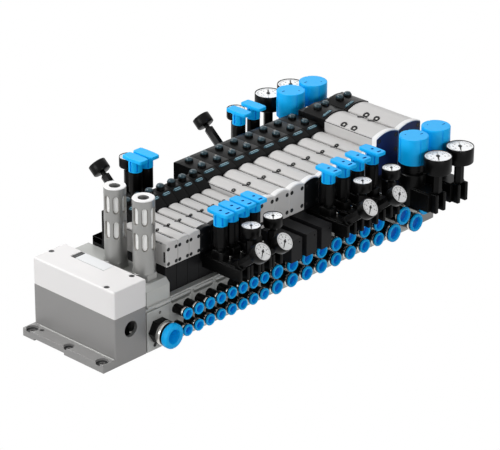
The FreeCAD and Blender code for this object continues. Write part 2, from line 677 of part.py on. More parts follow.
def large_regulator(x, y, side, inner):
    """Large regulator: a block with a round tower, a narrower foot and a forked nose."""
    half = LARGE_BLOCK_WIDTH / 2
    y0, y1 = span(y, side, inner, 0)
    block = box(x - half, x + half, y0, y1, LARGE_BLOCK_BOTTOM, BLOCK_TOP)
    tower = Part.makeCylinder(LARGE_TOWER_RADIUS, LARGE_TOWER_TOP - LARGE_BLOCK_BOTTOM,
                              V(x, y, LARGE_BLOCK_BOTTOM))
    half = LARGE_FOOT_WIDTH / 2
    y0, y1 = span(y, side, 0, LARGE_BLOCK_REACH)
    foot = box(x - half, x + half, y0, y1, LARGE_BLOCK_BOTTOM, BLOCK_TOP)
    half = LARGE_NOSE_WIDTH / 2
    y0, y1 = span(y, side, LARGE_BLOCK_REACH, LARGE_NOSE)
    nose = box(x - half, x + half, y0, y1, LARGE_BLOCK_BOTTOM, BLOCK_TOP)
    slot = box(x - NOSE_SLOT_WIDTH / 2, x + NOSE_SLOT_WIDTH / 2, y0, y1,
               LARGE_BLOCK_BOTTOM, BLOCK_TOP)
    bonnet = Part.makeCylinder(LARGE_BONNET_RADIUS, LARGE_COLLAR_BOTTOM - LARGE_TOWER_TOP,
                               V(x, y, LARGE_TOWER_TOP))
    collar = Part.makeCylinder(LARGE_COLLAR_RADIUS, LARGE_KNOB_BOTTOM - LARGE_COLLAR_BOTTOM,
                               V(x, y, LARGE_COLLAR_BOTTOM))
    pin = Part.makeCylinder(KNOB_PIN_RADIUS, KNOB_PIN_LENGTH, V(x, y, LARGE_KNOB_BOTTOM))
    return joined([block, tower, foot, nose.cut(slot), bonnet, collar, pin])


def regulators():
    """Every position and side that carries a regulator, front row first."""
    return [(family, index, side) for side in (-1, 1) for family in FAMILIES
            for index in range(family.count) if has_regulator(family, index, side)]


def wing_knob(x, y):
    """Blue knob: a long wing on a fluted skirt."""
    half_length, half_width = WING_LENGTH / 2, WING_WIDTH / 2
    half_end = WING_END_WIDTH / 2
    shoulder = SKIRT_RADIUS
    z = KNOB_TOP - WING_THICKNESS
    outline = [(x - half_end, y - half_length, z), (x + half_end, y - half_length, z),
               (x + half_width, y - shoulder, z), (x + half_width, y + shoulder, z),
               (x + half_end, y + half_length, z), (x - half_end, y + half_length, z),
               (x - half_width, y + shoulder, z), (x - half_width, y - shoulder, z)]
    wing = prism(outline, V(0, 0, WING_THICKNESS))
    skirt = fluted_skirt(x, y)
    bore = Part.makeCylinder(KNOB_PIN_RADIUS + KNOB_PIN_CLEARANCE,
                             KNOB_PIN_LENGTH + KNOB_PIN_END_GAP, V(x, y, KNOB_BOTTOM))
    return joined([wing, skirt]).cut(bore)


def fluted_skirt(x, y):
    """Grip of the wing knob, with straight flutes round it."""
    corners = []
    for i in range(2 * SKIRT_FLUTES):
        radius = SKIRT_RADIUS if i % 2 else SKIRT_RADIUS - SKIRT_FLUTE_DEPTH
        angle = math.pi * i / SKIRT_FLUTES
        corners.append((x + radius * math.cos(angle), y + radius * math.sin(angle), KNOB_BOTTOM))
    return prism(corners, V(0, 0, KNOB_TOP - WING_THICKNESS - KNOB_BOTTOM))


def round_knob(x, y):
    """Large round knob."""
    knob = Part.makeCylinder(LARGE_KNOB_RADIUS, LARGE_KNOB_TOP - LARGE_KNOB_BOTTOM,
                             V(x, y, LARGE_KNOB_BOTTOM))
    bore = Part.makeCylinder(KNOB_PIN_RADIUS + KNOB_PIN_CLEARANCE,
                             KNOB_PIN_LENGTH + KNOB_PIN_END_GAP, V(x, y, LARGE_KNOB_BOTTOM))
    return knob.cut(bore)


def gauge_axis(family, index, side):
    """Middle of the dial, the foot of the stem, and the barrel size of one gauge."""
    x = station_x(family, index)
    y = knob_y(family, side)
    if family is LARGE:
        face = V(x, y + side * LARGE_GAUGE_REACH, LARGE_GAUGE_TOP)
        return face, V(face.x, face.y, BLOCK_TOP), LARGE_GAUGE_RADIUS, LARGE_GAUGE_LENGTH
    if (index - REGULATOR_FIRST) % 2 == 0:
        face = V(x, y + side * GAUGE_TILT_REACH, GAUGE_TILT_TOP)
        tilt = math.radians(GAUGE_ANGLE)
        inward = V(0, -side * math.cos(tilt), -math.sin(tilt)).multiply(GAUGE_TILT_LENGTH)
        return face, face.add(inward), GAUGE_RADIUS, GAUGE_LENGTH
    face = V(x, y + side * GAUGE_UP_REACH, GAUGE_UP_TOP)
    return face, V(face.x, face.y, BLOCK_TOP), GAUGE_RADIUS, GAUGE_LENGTH


def hexagon(flats, start, end):
    """Hexagonal bar between two points."""
    axis = end.sub(start)
    corner = flats / math.sqrt(3)
    points = [(corner * math.cos(math.pi / 3 * i), corner * math.sin(math.pi / 3 * i), 0)
              for i in range(6)]
    bar = prism(points, V(0, 0, axis.Length))
    bar.Placement = FreeCAD.Placement(start, FreeCAD.Rotation(V(0, 0, 1), axis))
    return bar


def gauge(family, index, side):
    """Pressure gauge: a barrel with a sunk face, a neck and a hexagon to screw it in by."""
    face, foot, radius, length = gauge_axis(family, index, side)
    axis = foot.sub(face).normalize()
    back = face.add(V(axis).multiply(length))
    neck = back.add(V(axis).multiply(GAUGE_NECK_LENGTH))
    sunk = face.add(V(axis).multiply(2 * DIAL_SINK))
    barrel = rod(radius, face, back).cut(rod(radius - GAUGE_RIM, face, sunk))
    return joined([barrel, rod(GAUGE_NECK_RADIUS, back, neck), hexagon(GAUGE_HEX, neck, foot)])


def gauge_socket(family, index, side):
    """Slanted socket on a regulator for a tilted gauge, reaching into the block."""
    face, foot, radius, length = gauge_axis(family, index, side)
    axis = foot.sub(face).normalize()
    return rod(SOCKET_RADIUS, foot, foot.add(axis.multiply(SOCKET_LENGTH)))


def gauge_dial(family, index, side):
    """White dial that lies in the sunk face of a gauge."""
    face, foot, radius, length = gauge_axis(family, index, side)
    axis = foot.sub(face).normalize()
    top = face.add(V(axis).multiply(DIAL_SINK))
    bottom = face.add(V(axis).multiply(2 * DIAL_SINK))
    return rod(radius - GAUGE_RIM, top, bottom)


def arched_bar(family, y0, y1, base, edge, inset):
    """Bar along Y with upright sides and an arched roof, drawn in by an inset all round."""
    half = (family.pitch - VALVE_GAP) / 2 - inset
    a, b = V(-half, y0, base + inset), V(half, y0, base + inset)
    c, d = V(half, y0, edge - inset), V(-half, y0, edge - inset)
    arc = Part.Arc(c, V(0, y0, edge - inset + family.crown), d).toShape()
    outline = Part.Wire([Part.makeLine(a, b), Part.makeLine(b, c), arc, Part.makeLine(d, a)])
    return Part.Face(outline).extrude(V(0, y1 - y0, 0))


def valve_body(family, index):
    """Light housing of a valve behind its end cap."""
    body = arched_bar(family, family.front + CAP_DEPTH, family.body_back, PLATE_TOP, family.roof, 0)
    body.translate(V(station_x(family, index), 0, 0))
    return body


def end_cap(family, index):
    """Arched block on the front end of a valve, with a raised face inside a border."""
    shoulder = family.front + CAP_FACE_DEPTH
    block = arched_bar(family, shoulder, family.front + CAP_DEPTH, PLATE_TOP, family.roof, 0)
    face = arched_bar(family, family.front, shoulder, PLATE_TOP, family.roof, family.border)
    cap = joined([block, face])
    cap.translate(V(station_x(family, index), 0, 0))
    return cap


def pilot_block(family, x):
    """Black pilot housing without its collars: arched if large, else sloped at both ends."""
    if family is LARGE:
        block = arched_bar(family, family.body_back, family.back, PLATE_TOP, family.pilot_top, 0)
        block.translate(V(x, 0, 0))
        return block
    left = x - (family.pitch - VALVE_GAP) / 2
    top = family.pilot_top
    front = family.body_back
    shoulder = family.roof + family.crown + PILOT_REVEAL
    profile = [(left, front, PLATE_TOP), (left, family.back, PLATE_TOP),
               (left, family.back, top - family.pilot_drop),
               (left, family.back - PILOT_BACK_SLOPE, top),
               (left, front + PILOT_SLOPE, top), (left, front, shoulder)]
    return prism(profile, V(family.pitch - VALVE_GAP, 0, 0))


def pilot_head(family, index):
    """Pilot housing behind a valve body, with a collar and a bore for each button."""
    x = station_x(family, index)
    base = family.pilot_top
    collar_top = family.button_top - BUTTON_RISE
    floor = family.button_top - BUTTON_LENGTH - BUTTON_TRAVEL
    pieces = [pilot_block(family, x)]
    bores = []
    for dx, y in family.buttons:
        pieces.append(Part.makeCylinder(COLLAR_RADIUS, collar_top - base, V(x + dx, y, base)))
        bores.append(Part.makeCylinder(BUTTON_RADIUS + BUTTON_CLEARANCE, collar_top - floor,
                                       V(x + dx, y, floor)))
    return joined(pieces).cut(bores)


def button(family, x, y):
    return Part.makeCylinder(BUTTON_RADIUS, BUTTON_LENGTH,
                             V(x, y, family.button_top - BUTTON_LENGTH))


def knob_name(family, index, side):
    place = "front" if side < 0 else "back"
    return "knob_%s_%s_%d" % (place, family.name, index + 1)


def export_knobs():
    for family, index, side in regulators():
        make = round_knob if family is LARGE else wing_knob
        knob = make(station_x(family, index), knob_y(family, side))
        export(knob_name(family, index, side), [knob])


def export_buttons():
    for family in FAMILIES:
        for index in range(family.count):
            for number, (dx, y) in enumerate(family.buttons):
                name = "button_%s_%d_%s" % (family.name, index + 1, "ab"[number])
                export(name, [button(family, station_x(family, index) + dx, y)])


def main():
    os.makedirs("parts", exist_ok=True)
    positions = [(family, index) for family in FAMILIES for index in range(family.count)]
    export("electrical_housing", [electrical_housing()])
    export("electrical_cover", [electrical_cover()])
    export("cover_screws", cover_screws())
    export("terminal_board", [terminal_board()])
    export("supply_plate", [supply_plate()])
    export("mufflers", [muffler(MUFFLER_FRONT), muffler(MUFFLER_BACK)])
    export("sub_bases", [sub_base(x0, x1) for x0, x1 in sub_base_edges()])
    export("end_plate", [end_plate()])
    export("push_in_fittings", push_in_fittings())
    export("stacking_plates", stacking_plates())
    export("regulator_bodies", [regulator_body(*place) for place in regulators()])
    export("pressure_gauges", [gauge(*place) for place in regulators()])
    export("gauge_dials", [gauge_dial(*place) for place in regulators()])
    export("valve_bodies", [valve_body(*place) for place in positions])
    export("valve_end_caps", [end_cap(*place) for place in positions])
    export("pilot_heads", [pilot_head(*place) for place in positions])
    export_knobs()
    export_buttons()


main()
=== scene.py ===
import math

import bpy
from mathutils import Matrix, Vector
from mathutils.geometry import tessellate_polygon


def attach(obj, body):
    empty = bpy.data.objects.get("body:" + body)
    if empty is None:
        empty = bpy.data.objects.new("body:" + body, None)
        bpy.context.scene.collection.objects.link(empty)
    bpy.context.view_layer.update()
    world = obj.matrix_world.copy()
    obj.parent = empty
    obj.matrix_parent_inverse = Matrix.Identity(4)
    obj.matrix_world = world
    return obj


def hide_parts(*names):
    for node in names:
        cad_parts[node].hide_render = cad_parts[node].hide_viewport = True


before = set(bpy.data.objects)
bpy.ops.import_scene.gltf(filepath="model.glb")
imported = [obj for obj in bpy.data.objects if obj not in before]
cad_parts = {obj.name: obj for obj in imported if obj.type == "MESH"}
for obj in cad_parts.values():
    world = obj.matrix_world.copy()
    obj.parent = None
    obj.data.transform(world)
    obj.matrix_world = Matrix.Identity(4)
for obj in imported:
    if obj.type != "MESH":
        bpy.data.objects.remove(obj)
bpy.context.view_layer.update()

# A modular valve terminal. Shapes are written in millimetres in the row frame: X along the
# row, -Y towards the push-in fittings, +Z up. They turn into metres when a mesh is made.

MM = 0.001
ROOT = "island"

# Places along the row and the main heights
SMALL_X = [-178.85 + 19 * k for k in range(8)]
MEDIUM_X = [-22.85 + 27 * k for k in range(8)]
LARGE_X = [201.15, 244.15]
Y_FRONT = -70.0
PLATE_TOP = 97.5
FRONT_REGULATORS = (3, 4, 5, 6)
BACK_REGULATORS = (5, 6)


# Materials, with the depth of their relief and the width of the drift in their gloss

RELIEF_MM = 0.1
DRIFT_MM = 100 / 3
COAT_ROUGHNESS = 0.08


def linear(code):
    """Linear colour of an sRGB hex code."""
    values = [int(code[i:i + 2], 16) / 255 for i in (1, 3, 5)]
    flat = [v / 12.92 if v <= 0.04045 else ((v + 0.055) / 1.055) ** 2.4 for v in values]
    return (*flat, 1.0)


def add_node(tree, kind, settings=(), links=()):
    """Add a shader node, set its sockets or properties, and link other sockets into it."""
    made = tree.nodes.new(kind)
    for name, value in dict(settings).items():
        if name in made.inputs:
            made.inputs[name].default_value = value
        else:
            setattr(made, name, value)
    for name, source in dict(links).items():
        tree.links.new(source, made.inputs[name])
    return made


def surface(name, colour, roughness, metallic=0.0, grain=0.0, grain_mm=0.5, blotch=0.0,
            coat=0.0, edge_mm=0.0, gloss=0.25):
    """Principled material in object space: soft edges, a fine relief and a faint drift of gloss."""
    material = bpy.data.materials.new(name)
    material.use_nodes = True
    tree = material.node_tree
    tree.nodes.clear()
    place = add_node(tree, "ShaderNodeTexCoord").outputs["Object"]
    settings = {"Base Color": linear(colour), "Roughness": roughness, "Metallic": metallic,
                "Specular IOR Level": gloss, "Coat Weight": coat, "Coat Roughness": COAT_ROUGHNESS}
    links = {}
    if edge_mm:
        soft = add_node(tree, "ShaderNodeBevel", {"Radius": edge_mm * MM, "samples": 4})
        links["Normal"] = soft.outputs["Normal"]
    if grain:
        noise = add_node(tree, "ShaderNodeTexNoise", {"Scale": 1 / (grain_mm * MM), "Detail": 2.0},
                         {"Vector": place})
        relief = add_node(tree, "ShaderNodeBump", {"Strength": grain, "Distance": RELIEF_MM * MM},
                          {"Height": noise.outputs["Fac"]})
        if edge_mm:
            tree.links.new(links["Normal"], relief.inputs["Normal"])
        links["Normal"] = relief.outputs["Normal"]
    if blotch:
        cloud = add_node(tree, "ShaderNodeTexNoise", {"Scale": 1 / (DRIFT_MM * MM), "Detail": 3.0},
                         {"Vector": place})
        drift = add_node(tree, "ShaderNodeMapRange",
                         {"To Min": roughness - blotch, "To Max": roughness + blotch},
                         {"Value": cloud.outputs["Fac"]})
        links["Roughness"] = drift.outputs["Result"]
        del settings["Roughness"]
    shader = add_node(tree, "ShaderNodeBsdfPrincipled", settings, links)
    add_node(tree, "ShaderNodeOutputMaterial", (), {"Surface": shader.outputs["BSDF"]})
    return material


# Blasted die casting: a dull grey that breaks into soft light at its edges.
CAST = surface("aluminium_cast_blasted", "#908F8E", 0.45, metallic=0.3, grain=0.25, grain_mm=0.6,
               blotch=0.05, edge_mm=0.7)
# Lighter casting of the supply plate, a little brighter than the housing beside it.
SUPPLY = surface("aluminium_cast_light", "#B9BAB7", 0.45, metallic=0.3, grain=0.2, grain_mm=0.6,
                 blotch=0.05, edge_mm=0.8)
# Off-white moulding, nearly matt, that reads as the brightest block.
COVER = surface("plastic_cover_off_white", "#EAE8E7", 0.5, grain=0.1, blotch=0.04, edge_mm=0.5)
# Bare label plate: smooth and a touch cooler than the cover.
PLATE = surface("plate_label_bare", "#E6E7E8", 0.45)
# Turned metal of the silencers, with a soft grey sheen.
SILENCER = surface("metal_silencer_satin", "#989896", 0.35, metallic=0.6, grain=0.2, grain_mm=0.4,
                   blotch=0.05, edge_mm=0.5)
# Matt white on the floors of the silencer slots, the brightest spots of the tubes: painted highlight.
SLOT_HIGHLIGHT = surface("silencer_slot_painted_highlight", "#F6F6F4", 0.8, grain=0.6, grain_mm=0.35)
# Moulded blue plastic of knobs and release rings, saturated with a gentle shine.
BLUE = surface("plastic_blue_satin", "#00B6FF", 0.45, grain=0.05, grain_mm=0.4)
# The same plastic, darker, in dimples, marks and the fittings' bores: painted shade of these recesses.
BLUE_SHADE = surface("plastic_blue_painted_shade", "#0A62BE", 0.45)
# Glass-filled black plastic: deep, with a broad dull reflection.
BLACK = surface("plastic_black_satin", "#040404", 0.4, grain=0.15, grain_mm=0.4, blotch=0.05,
                edge_mm=0.4, gloss=0.1)
# Black of the plates in front of the valves, lighter than the mouldings: a painted sheen of their flat
# faces.
PLATE_BLACK_SHEEN = surface("plastic_plate_black_painted_sheen", "#1A1A1B", 0.45, grain=0.15, grain_mm=0.4, blotch=0.05,
                      edge_mm=0.4, gloss=0.1)
# Smoother black of gauge barrels and pilot housings.
BLACK_FINE = surface("plastic_black_fine", "#030303", 0.34, grain=0.06, grain_mm=0.3, blotch=0.04,
                     gloss=0.12)
# Black domes of the overrides, shiny with a teal cast.
DOME = surface("plastic_dome_teal_black", "#18343D", 0.36, coat=0.35)
# Tinted light windows: dull teal over dark with a glossy skin.
WINDOW = surface("window_teal_gloss", "#2B4F5C", 0.22, coat=0.5)
# Pale strips along the windows' upper and lower sides: painted highlight on the bulging lens.
WINDOW_HIGHLIGHT = surface("window_painted_highlight", "#7FA9B6", 0.3, coat=0.5)
# Light housing of the valves: satin paint, warm light grey.
VALVE = surface("paint_valve_light_grey", "#C9C7C5", 0.36, grain=0.08, grain_mm=0.4, blotch=0.04)
# White on the rounded brows and borders of the valve ends and on the silencers' top rims: painted highlight
# where these edges catch the light.
EDGE_HIGHLIGHT = surface("white_painted_highlight", "#F1F0EF", 0.35)
# End faces of the narrow valves: the same paint, duller.
CAP_LIGHT = surface("paint_valve_end_grey", "#CFCDCB", 0.42, grain=0.12, grain_mm=0.4, blotch=0.04)
# Near-black end faces of the valves that carry a regulator in front: painted shade of the regulators.
CAP_SHADE = surface("valve_end_painted_shade", "#161719", 0.36, grain=0.1, grain_mm=0.4, blotch=0.04,
                   gloss=0.12)
# Navy end faces of the wide valves.
NAVY = surface("plastic_cap_navy", "#22305C", 0.34, grain=0.1, grain_mm=0.4, blotch=0.04, gloss=0.12)
# Bright plated steel of screws, clips and the fittings' collars.
STEEL = surface("steel_nickel_plated", "#C9C8C4", 0.22, metallic=1.0)
# Blackened steel of sunk screws, darker than the casting round them; the same dark is painted shade on the
# floors of the flange's sinks and in the cover's slot.
DARK_STEEL_AND_SHADE = surface("steel_blackened_and_painted_shade", "#3B3B3C", 0.35, metallic=0.8)
# Dull grey zinc of the small screws beside the domes; on the silencers' slot walls the same darker grey is
# painted shade.
ZINC_AND_SLOT_SHADE = surface("steel_zinc_dull_and_slot_shade", "#8E8C88", 0.4, metallic=0.8)
# Near-black in seams, screw sinks, sockets and notches: painted shade, a soft shadow line in these gaps.
SEAM_SHADE = surface("seam_painted_shade", "#161617", 0.6)
# Printed dial under its lens: clean white with a glossy coat.
DIAL = surface("dial_white_gloss", "#FBFBFA", 0.4, coat=0.3)
# Dial print and pointers: flat black.
INK = surface("print_black_flat", "#161616", 0.5)
# Grey print of the finer dial marks.
INK_GREY = surface("print_grey_flat", "#8D8D8D", 0.5)
# Green laminate of the board inside the housing.
BOARD = surface("laminate_green", "#2E6B48", 0.35)


# Outlines in a plane, counter-clockwise, as lists of (u, v)

def polar(radius, angle):
    return radius * math.cos(angle), radius * math.sin(angle)


def circle(radius, steps=24, u=0.0, v=0.0):
    """Regular outline round a middle; six steps make a hexagon."""
    turn = 2 * math.pi / steps
    return [(u + radius * math.cos(turn * i), v + radius * math.sin(turn * i)) for i in range(steps)]


def softened(points, radius, steps=4):
    """Round every corner of a polygon, as far as its sides allow."""
    result = []
    count = len(points)
    for i in range(count):
        here = Vector(points[i])
        back = Vector(points[i - 1]) - here
        ahead = Vector(points[(i + 1) % count]) - here
        reach = min(radius, back.length * 0.49, ahead.length * 0.49)
        start = here + back.normalized() * reach
        end = here + ahead.normalized() * reach
        for k in range(steps + 1):
            t = k / steps
            spot = start * (1 - t) ** 2 + here * 2 * t * (1 - t) + end * t ** 2
            result.append((spot.x, spot.y))
    return result


def rectangle(u0, u1, v0, v1, radius=0.0, steps=4):
    """Rectangle between two pairs of limits, with rounded corners where a radius is given."""
    corners = [(u0, v0), (u1, v0), (u1, v1), (u0, v1)]
    return softened(corners, radius, steps) if radius else corners


def offset(points, distance):
    """Move a polygon's sides inward by a distance."""
    result = []
    count = len(points)
    for i in range(count):
        here = Vector(points[i])
        before = (here - Vector(points[i - 1])).normalized()
        after = (Vector(points[(i + 1) % count]) - here).normalized()
        normal = Vector((-before.y - after.y, before.x + after.x))
        if normal.length < 1e-6:
            normal = Vector((-after.y, after.x))
        normal.normalize()
        share = max(normal.dot(Vector((-after.y, after.x))), 0.35)
        spot = here + normal * (distance / share)
        result.append((spot.x, spot.y))
    return result


# Places: matrices whose third axis points out of the surface that is worked on

def place(origin, u, v):
    """Matrix that puts outlines at an origin, along two directions."""
    u, v = Vector(u).normalized(), Vector(v).normalized()
    w = u.cross(v)
    return Matrix(((u.x, v.x, w.x, origin[0]), (u.y, v.y, w.y, origin[1]),
                   (u.z, v.z, w.z, origin[2]), (0, 0, 0, 1)))


def on_top(x=0.0, y=0.0, z=0.0):
    return place((x, y, z), (1, 0, 0), (0, 1, 0))


def on_front(x=0.0, y=0.0, z=0.0):
    return place((x, y, z), (1, 0, 0), (0, 0, 1))


def on_left(x=0.0, y=0.0, z=0.0):
    return place((x, y, z), (0, -1, 0), (0, 0, 1))


def upright(x, y, side):
    """Vertical place at a spot, turned so that its -v side looks away from the row."""
    return on_top(x, y, 0.0) if side < 0 else place((x, y, 0), (-1, 0, 0), (0, -1, 0))


def along(start, end):
    """Place at a point, with its third axis towards another point and its second axis up."""
    w = (Vector(end) - Vector(start)).normalized()
    side = Vector((1, 0, 0)) if abs(w.x) < 0.9 else Vector((0, 1, 0))
    v = w.cross(side).normalized()
    u = v.cross(w)
    return place(start, u, v)


SMOOTH_ANGLE = math.radians(32)


def bands(rows, count):
    """Faces between neighbouring rings of points, with the same number of points in each."""
    faces = []
    for row in range(rows - 1):
        a, b = row * count, (row + 1) * count
        faces += [(a + i, a + (i + 1) % count, b + (i + 1) % count, b + i) for i in range(count)]
    return faces


class Piece:
    """Gathers the faces of one piece in millimetres, each with its material."""

    def __init__(self):
        self.points = []
        self.faces = []
        self.slots = []
        self.materials = []

    def add(self, points, faces, material):
        """Append points and the faces between them, all in one material."""
        if material not in self.materials:
            self.materials.append(material)
        start = len(self.points)
        self.points += [tuple(point) for point in points]
        self.faces += [tuple(start + i for i in face) for face in faces]
        self.slots += [self.materials.index(material)] * len(faces)

    def lathe(self, spot, profile, material, steps=32):
        """Turn a profile of (radius, height) about the place's third axis."""
        points = [spot @ Vector((*polar(radius, 2 * math.pi * i / steps), height))
                  for radius, height in profile for i in range(steps)]
        self.add(points, bands(len(profile), steps), material)

    def disc(self, spot, radius, height, material, steps=32):
        """Flat round face at a height above its place."""
        points = [spot @ Vector((u, v, height)) for u, v in circle(radius, steps)]
        self.add(points, [tuple(range(steps))], material)

    def slab(self, spot, outline, low, high, material, edge=0.0, pits=(), top=None, floor=True):
        """Straight-sided block with a rounded upper edge. A pit is (outline, depth, material)."""
        rings = [(outline, low)]
        if edge:
            rings += [(outline, high - edge), (offset(outline, edge * 0.3), high - edge * 0.3)]
        rings.append((offset(outline, edge) if edge else outline, high))
        count = len(outline)
        points = [spot @ Vector((u, v, w)) for ring, w in rings for u, v in ring]
        faces = bands(len(rings), count)
        if floor:
            faces.append(tuple(reversed(range(count))))
        self.add(points, faces, material)
        self.cap(spot, [rings[-1][0]] + [pit[0] for pit in pits], high, top or material)
        for pit, depth, lining in pits:
            size = len(pit)
            points = [spot @ Vector((u, v, w)) for w in (high, high - depth) for u, v in pit]
            faces = [(i, size + i, size + (i + 1) % size, (i + 1) % size) for i in range(size)]
            faces.append(tuple(size + i for i in range(size)))
            self.add(points, faces, lining)

    def cap(self, spot, loops, height, material):
        """Flat face at one height; the first loop is its edge and the others are holes."""
        flat = [[Vector((u, v, 0)) for u, v in loop] for loop in loops]
        points = [spot @ Vector((p.x, p.y, height)) for loop in flat for p in loop]
        if len(loops) == 1:
            self.add(points, [tuple(range(len(points)))], material)
        else:
            faces = []
            for a, b, c in tessellate_polygon(flat):
                pa, pb, pc = (Vector(sum(loops, [])[i]) for i in (a, b, c))
                area = (pb - pa).cross(pc - pa)
                faces.append((a, b, c) if area > 0 else (a, c, b))
            self.add(points, faces, material)

    def box(self, x0, x1, y0, y1, z0, z1, material, edge=0.3):
        """Upright block between limits, with soft edges."""
        self.slab(on_top(), rectangle(x0, x1, y0, y1, edge * 1.5, 2), z0, z1, material, edge)

    def loft(self, sections, material):
        """Closed skin over rings that hold the same number of points."""
        count = len(sections[0])
        points = [point for section in sections for point in section]
        faces = [(b, a, d, c) for a, b, c, d in bands(len(sections), count)]
        faces.append(tuple(range(count)))
        faces.append(tuple(reversed(range((len(sections) - 1) * count, len(sections) * count))))
        self.add(points, faces, material)

    def make(self, name, body=ROOT, nodes=()):
        """Turn the faces into a mesh object that rides on a body and stands for some nodes."""
        mesh = bpy.data.meshes.new(name)
        mesh.from_pydata([(x * MM, y * MM, z * MM) for x, y, z in self.points], [], self.faces)
        for material in self.materials:
            mesh.materials.append(material)
        mesh.polygons.foreach_set("material_index", self.slots)
        mesh.polygons.foreach_set("use_smooth", [True] * len(self.faces))
        mesh.set_sharp_from_angle(angle=SMOOTH_ANGLE)
        mesh.update()
        made = bpy.data.objects.new(name, mesh)
        bpy.context.scene.collection.objects.link(made)
        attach(made, body)
        if nodes:
            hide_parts(*nodes)


def screw(piece, spot, radius, rise, material):
    """Small round screw head with a hexagon socket."""
    hexagon = circle(radius * 0.5, 6)
    # The hexagon socket is lined in near-black, painted shade.
    piece.slab(spot, circle(radius, 20), -0.5, rise, material, min(0.3, rise * 0.5),
               [(hexagon, rise * 0.8, SEAM_SHADE)], floor=False)


def sunk_screw(piece, spot, radius, head):
    """Sink in a face, painted dark as its shade, with a smaller screw head in it."""
    piece.lathe(spot, [(radius + 0.3, -0.1), (radius, 0.12), (radius * 0.9, 0.05), (0.0, 0.05)], SEAM_SHADE, 20)
    piece.lathe(spot, [(radius * 0.55, 0.0), (radius * 0.5, 0.2), (radius * 0.25, 0.2),
                       (radius * 0.2, 0.1), (0.0, 0.1)], head, 12)


# Push-in fittings: ring radius, bore radius and reach from the front of the row

RING_SMALL = (7.5, 4.6, 22.4)
RING_MEDIUM = (9.2, 5.9, 22.6)
RING_LARGE = (12.25, 7.6, 28.2)
RING_SUPPLY = (15.9, 8.4, 29.0)
SUPPLY_PORT = (-209.2, 25.2)
SUPPLY_BORE_END = 12.0
SUPPLY_NOSE = 3.4
PORTS = [(x, z, RING_SMALL) for x in SMALL_X for z in (20.3, 42.6)]
PORTS += [(x, z, RING_MEDIUM) for x in MEDIUM_X for z in (21.2, 42.4)]
PORTS += [(x + dx, z, RING_LARGE) for x in LARGE_X for dx, z in ((-11.35, 23.8), (6.55, 42.1))]


def fitting(piece, x, z, ring, tube, reach):
    """Blue release ring in front of a thin black gap, a plated collar and a black barrel."""
    spot = on_front(x, Y_FRONT, z)
    lip = min(1.6, (ring - tube) * 0.4)
    inner = reach - 5.0
    piece.lathe(spot, [(tube, inner), (tube, reach - lip), (tube + lip * 0.4, reach - lip * 0.3),
                       (tube + lip, reach), (ring - lip, reach), (ring - lip * 0.35, reach - lip * 0.3),
                       (ring, reach - lip), (ring, reach - 2.4), (ring - 0.7, reach - 3.0),
                       (ring - 1.5, reach - 3.0)], BLUE, 40)
    # The bore's floor is a deeper blue: painted shade of the bore.
    piece.disc(spot, tube, inner, BLUE_SHADE, 40)
    piece.lathe(spot, [(ring - 1.4, reach - 2.9), (ring - 0.5, reach - 3.2), (ring - 0.5, reach - 4.9)],
                BLACK_FINE, 40)
    piece.lathe(spot, [(ring - 1.2, reach - 4.4), (ring - 0.3, reach - 4.6), (ring, reach - 5.1),
                       (ring, reach - 6.9), (ring - 0.4, reach - 7.3)], STEEL, 40)
    piece.lathe(spot, [(ring - 0.4, reach - 7.3), (ring - 1.3, reach - 7.5), (ring - 1.3, 0.0)],
                BLACK_FINE, 40)


def fittings():
    """All the push-in fittings of the row, as one piece."""
    piece = Piece()
    for x, z, size in PORTS:
        fitting(piece, x, z, *size)
    piece.make("fittings_small_rings", nodes=("push_in_fittings",))


def supply_fitting():
    """Wide supply ring with a rounded nose and a dark bore, in front of a black hexagon."""
    piece = Piece()
    ring, tube, reach = RING_SUPPLY
    spot = on_front(SUPPLY_PORT[0], Y_FRONT, SUPPLY_PORT[1])
    nose = SUPPLY_NOSE
    bulge = [(ring - nose + nose * math.sin(a), reach - nose + nose * math.cos(a))
             for a in (math.radians(15 * i) for i in range(7))]
    piece.lathe(spot, [(tube - 1.5, SUPPLY_BORE_END), (tube, reach - 3.0), (tube + 0.8, reach - 1.0),
                       (tube + 2.2, reach)] + bulge
                + [(ring, reach - 7.0), (ring - 0.8, reach - 8.0), (ring - 2.0, reach - 8.0)], BLUE, 64)
    piece.disc(spot, tube, SUPPLY_BORE_END, BLACK_FINE, 64)
    piece.lathe(spot, [(ring - 2.0, reach - 7.9), (ring - 1.0, reach - 8.2), (ring - 1.0, reach - 11.0),
                       (ring - 1.6, reach - 11.2)], BLACK_FINE, 64)
    piece.lathe(spot, [(ring - 1.8, reach - 11.0), (ring - 0.6, reach - 11.2), (ring - 0.2, reach - 12.0),
                       (ring - 0.2, reach - 17.0), (ring - 1.0, reach - 17.6)], STEEL, 64)
    piece.slab(spot, circle(16.0, 6), 0.0, reach - 17.5, BLACK_FINE, 0.8)
    piece.make("fitting_supply_ring")


# Knobs, with the heights of their lower and upper faces

WING = (154.5, 158.7)
SKIRT = (140.2, 155.0)
SKIRT_RADIUS = 8.6
ROUND_KNOB = (127.4, 162.3)
ROUND_KNOB_RADIUS = 18.7
DIMPLE_DEPTH = 1.5


def wing_outline():
    """Wing of the narrow knob, seen from above: a long rounded bar with a full middle."""
    corners = [(-7.2, -17.0), (7.2, -17.0), (7.9, -8.0), (7.9, 8.0), (6.9, 17.0), (-6.9, 17.0),
               (-7.9, 8.0), (-7.9, -8.0)]
    return softened(corners, 3.0, 4)


def grooved(radius, depth, count, half_width, shift=0.0, steps=6):
    """Round outline with narrow straight grooves at even spacing."""
    points = []
    half = half_width / radius
    for i in range(count):
        middle = shift + 2 * math.pi * i / count
        points += [polar(radius, middle - half), polar(radius - depth, middle - half * 0.8),
                   polar(radius - depth, middle + half * 0.8), polar(radius, middle + half)]
        sweep = 2 * math.pi / count - 2 * half
        points += [polar(radius, middle + half + sweep * k / steps) for k in range(1, steps)]
    return points


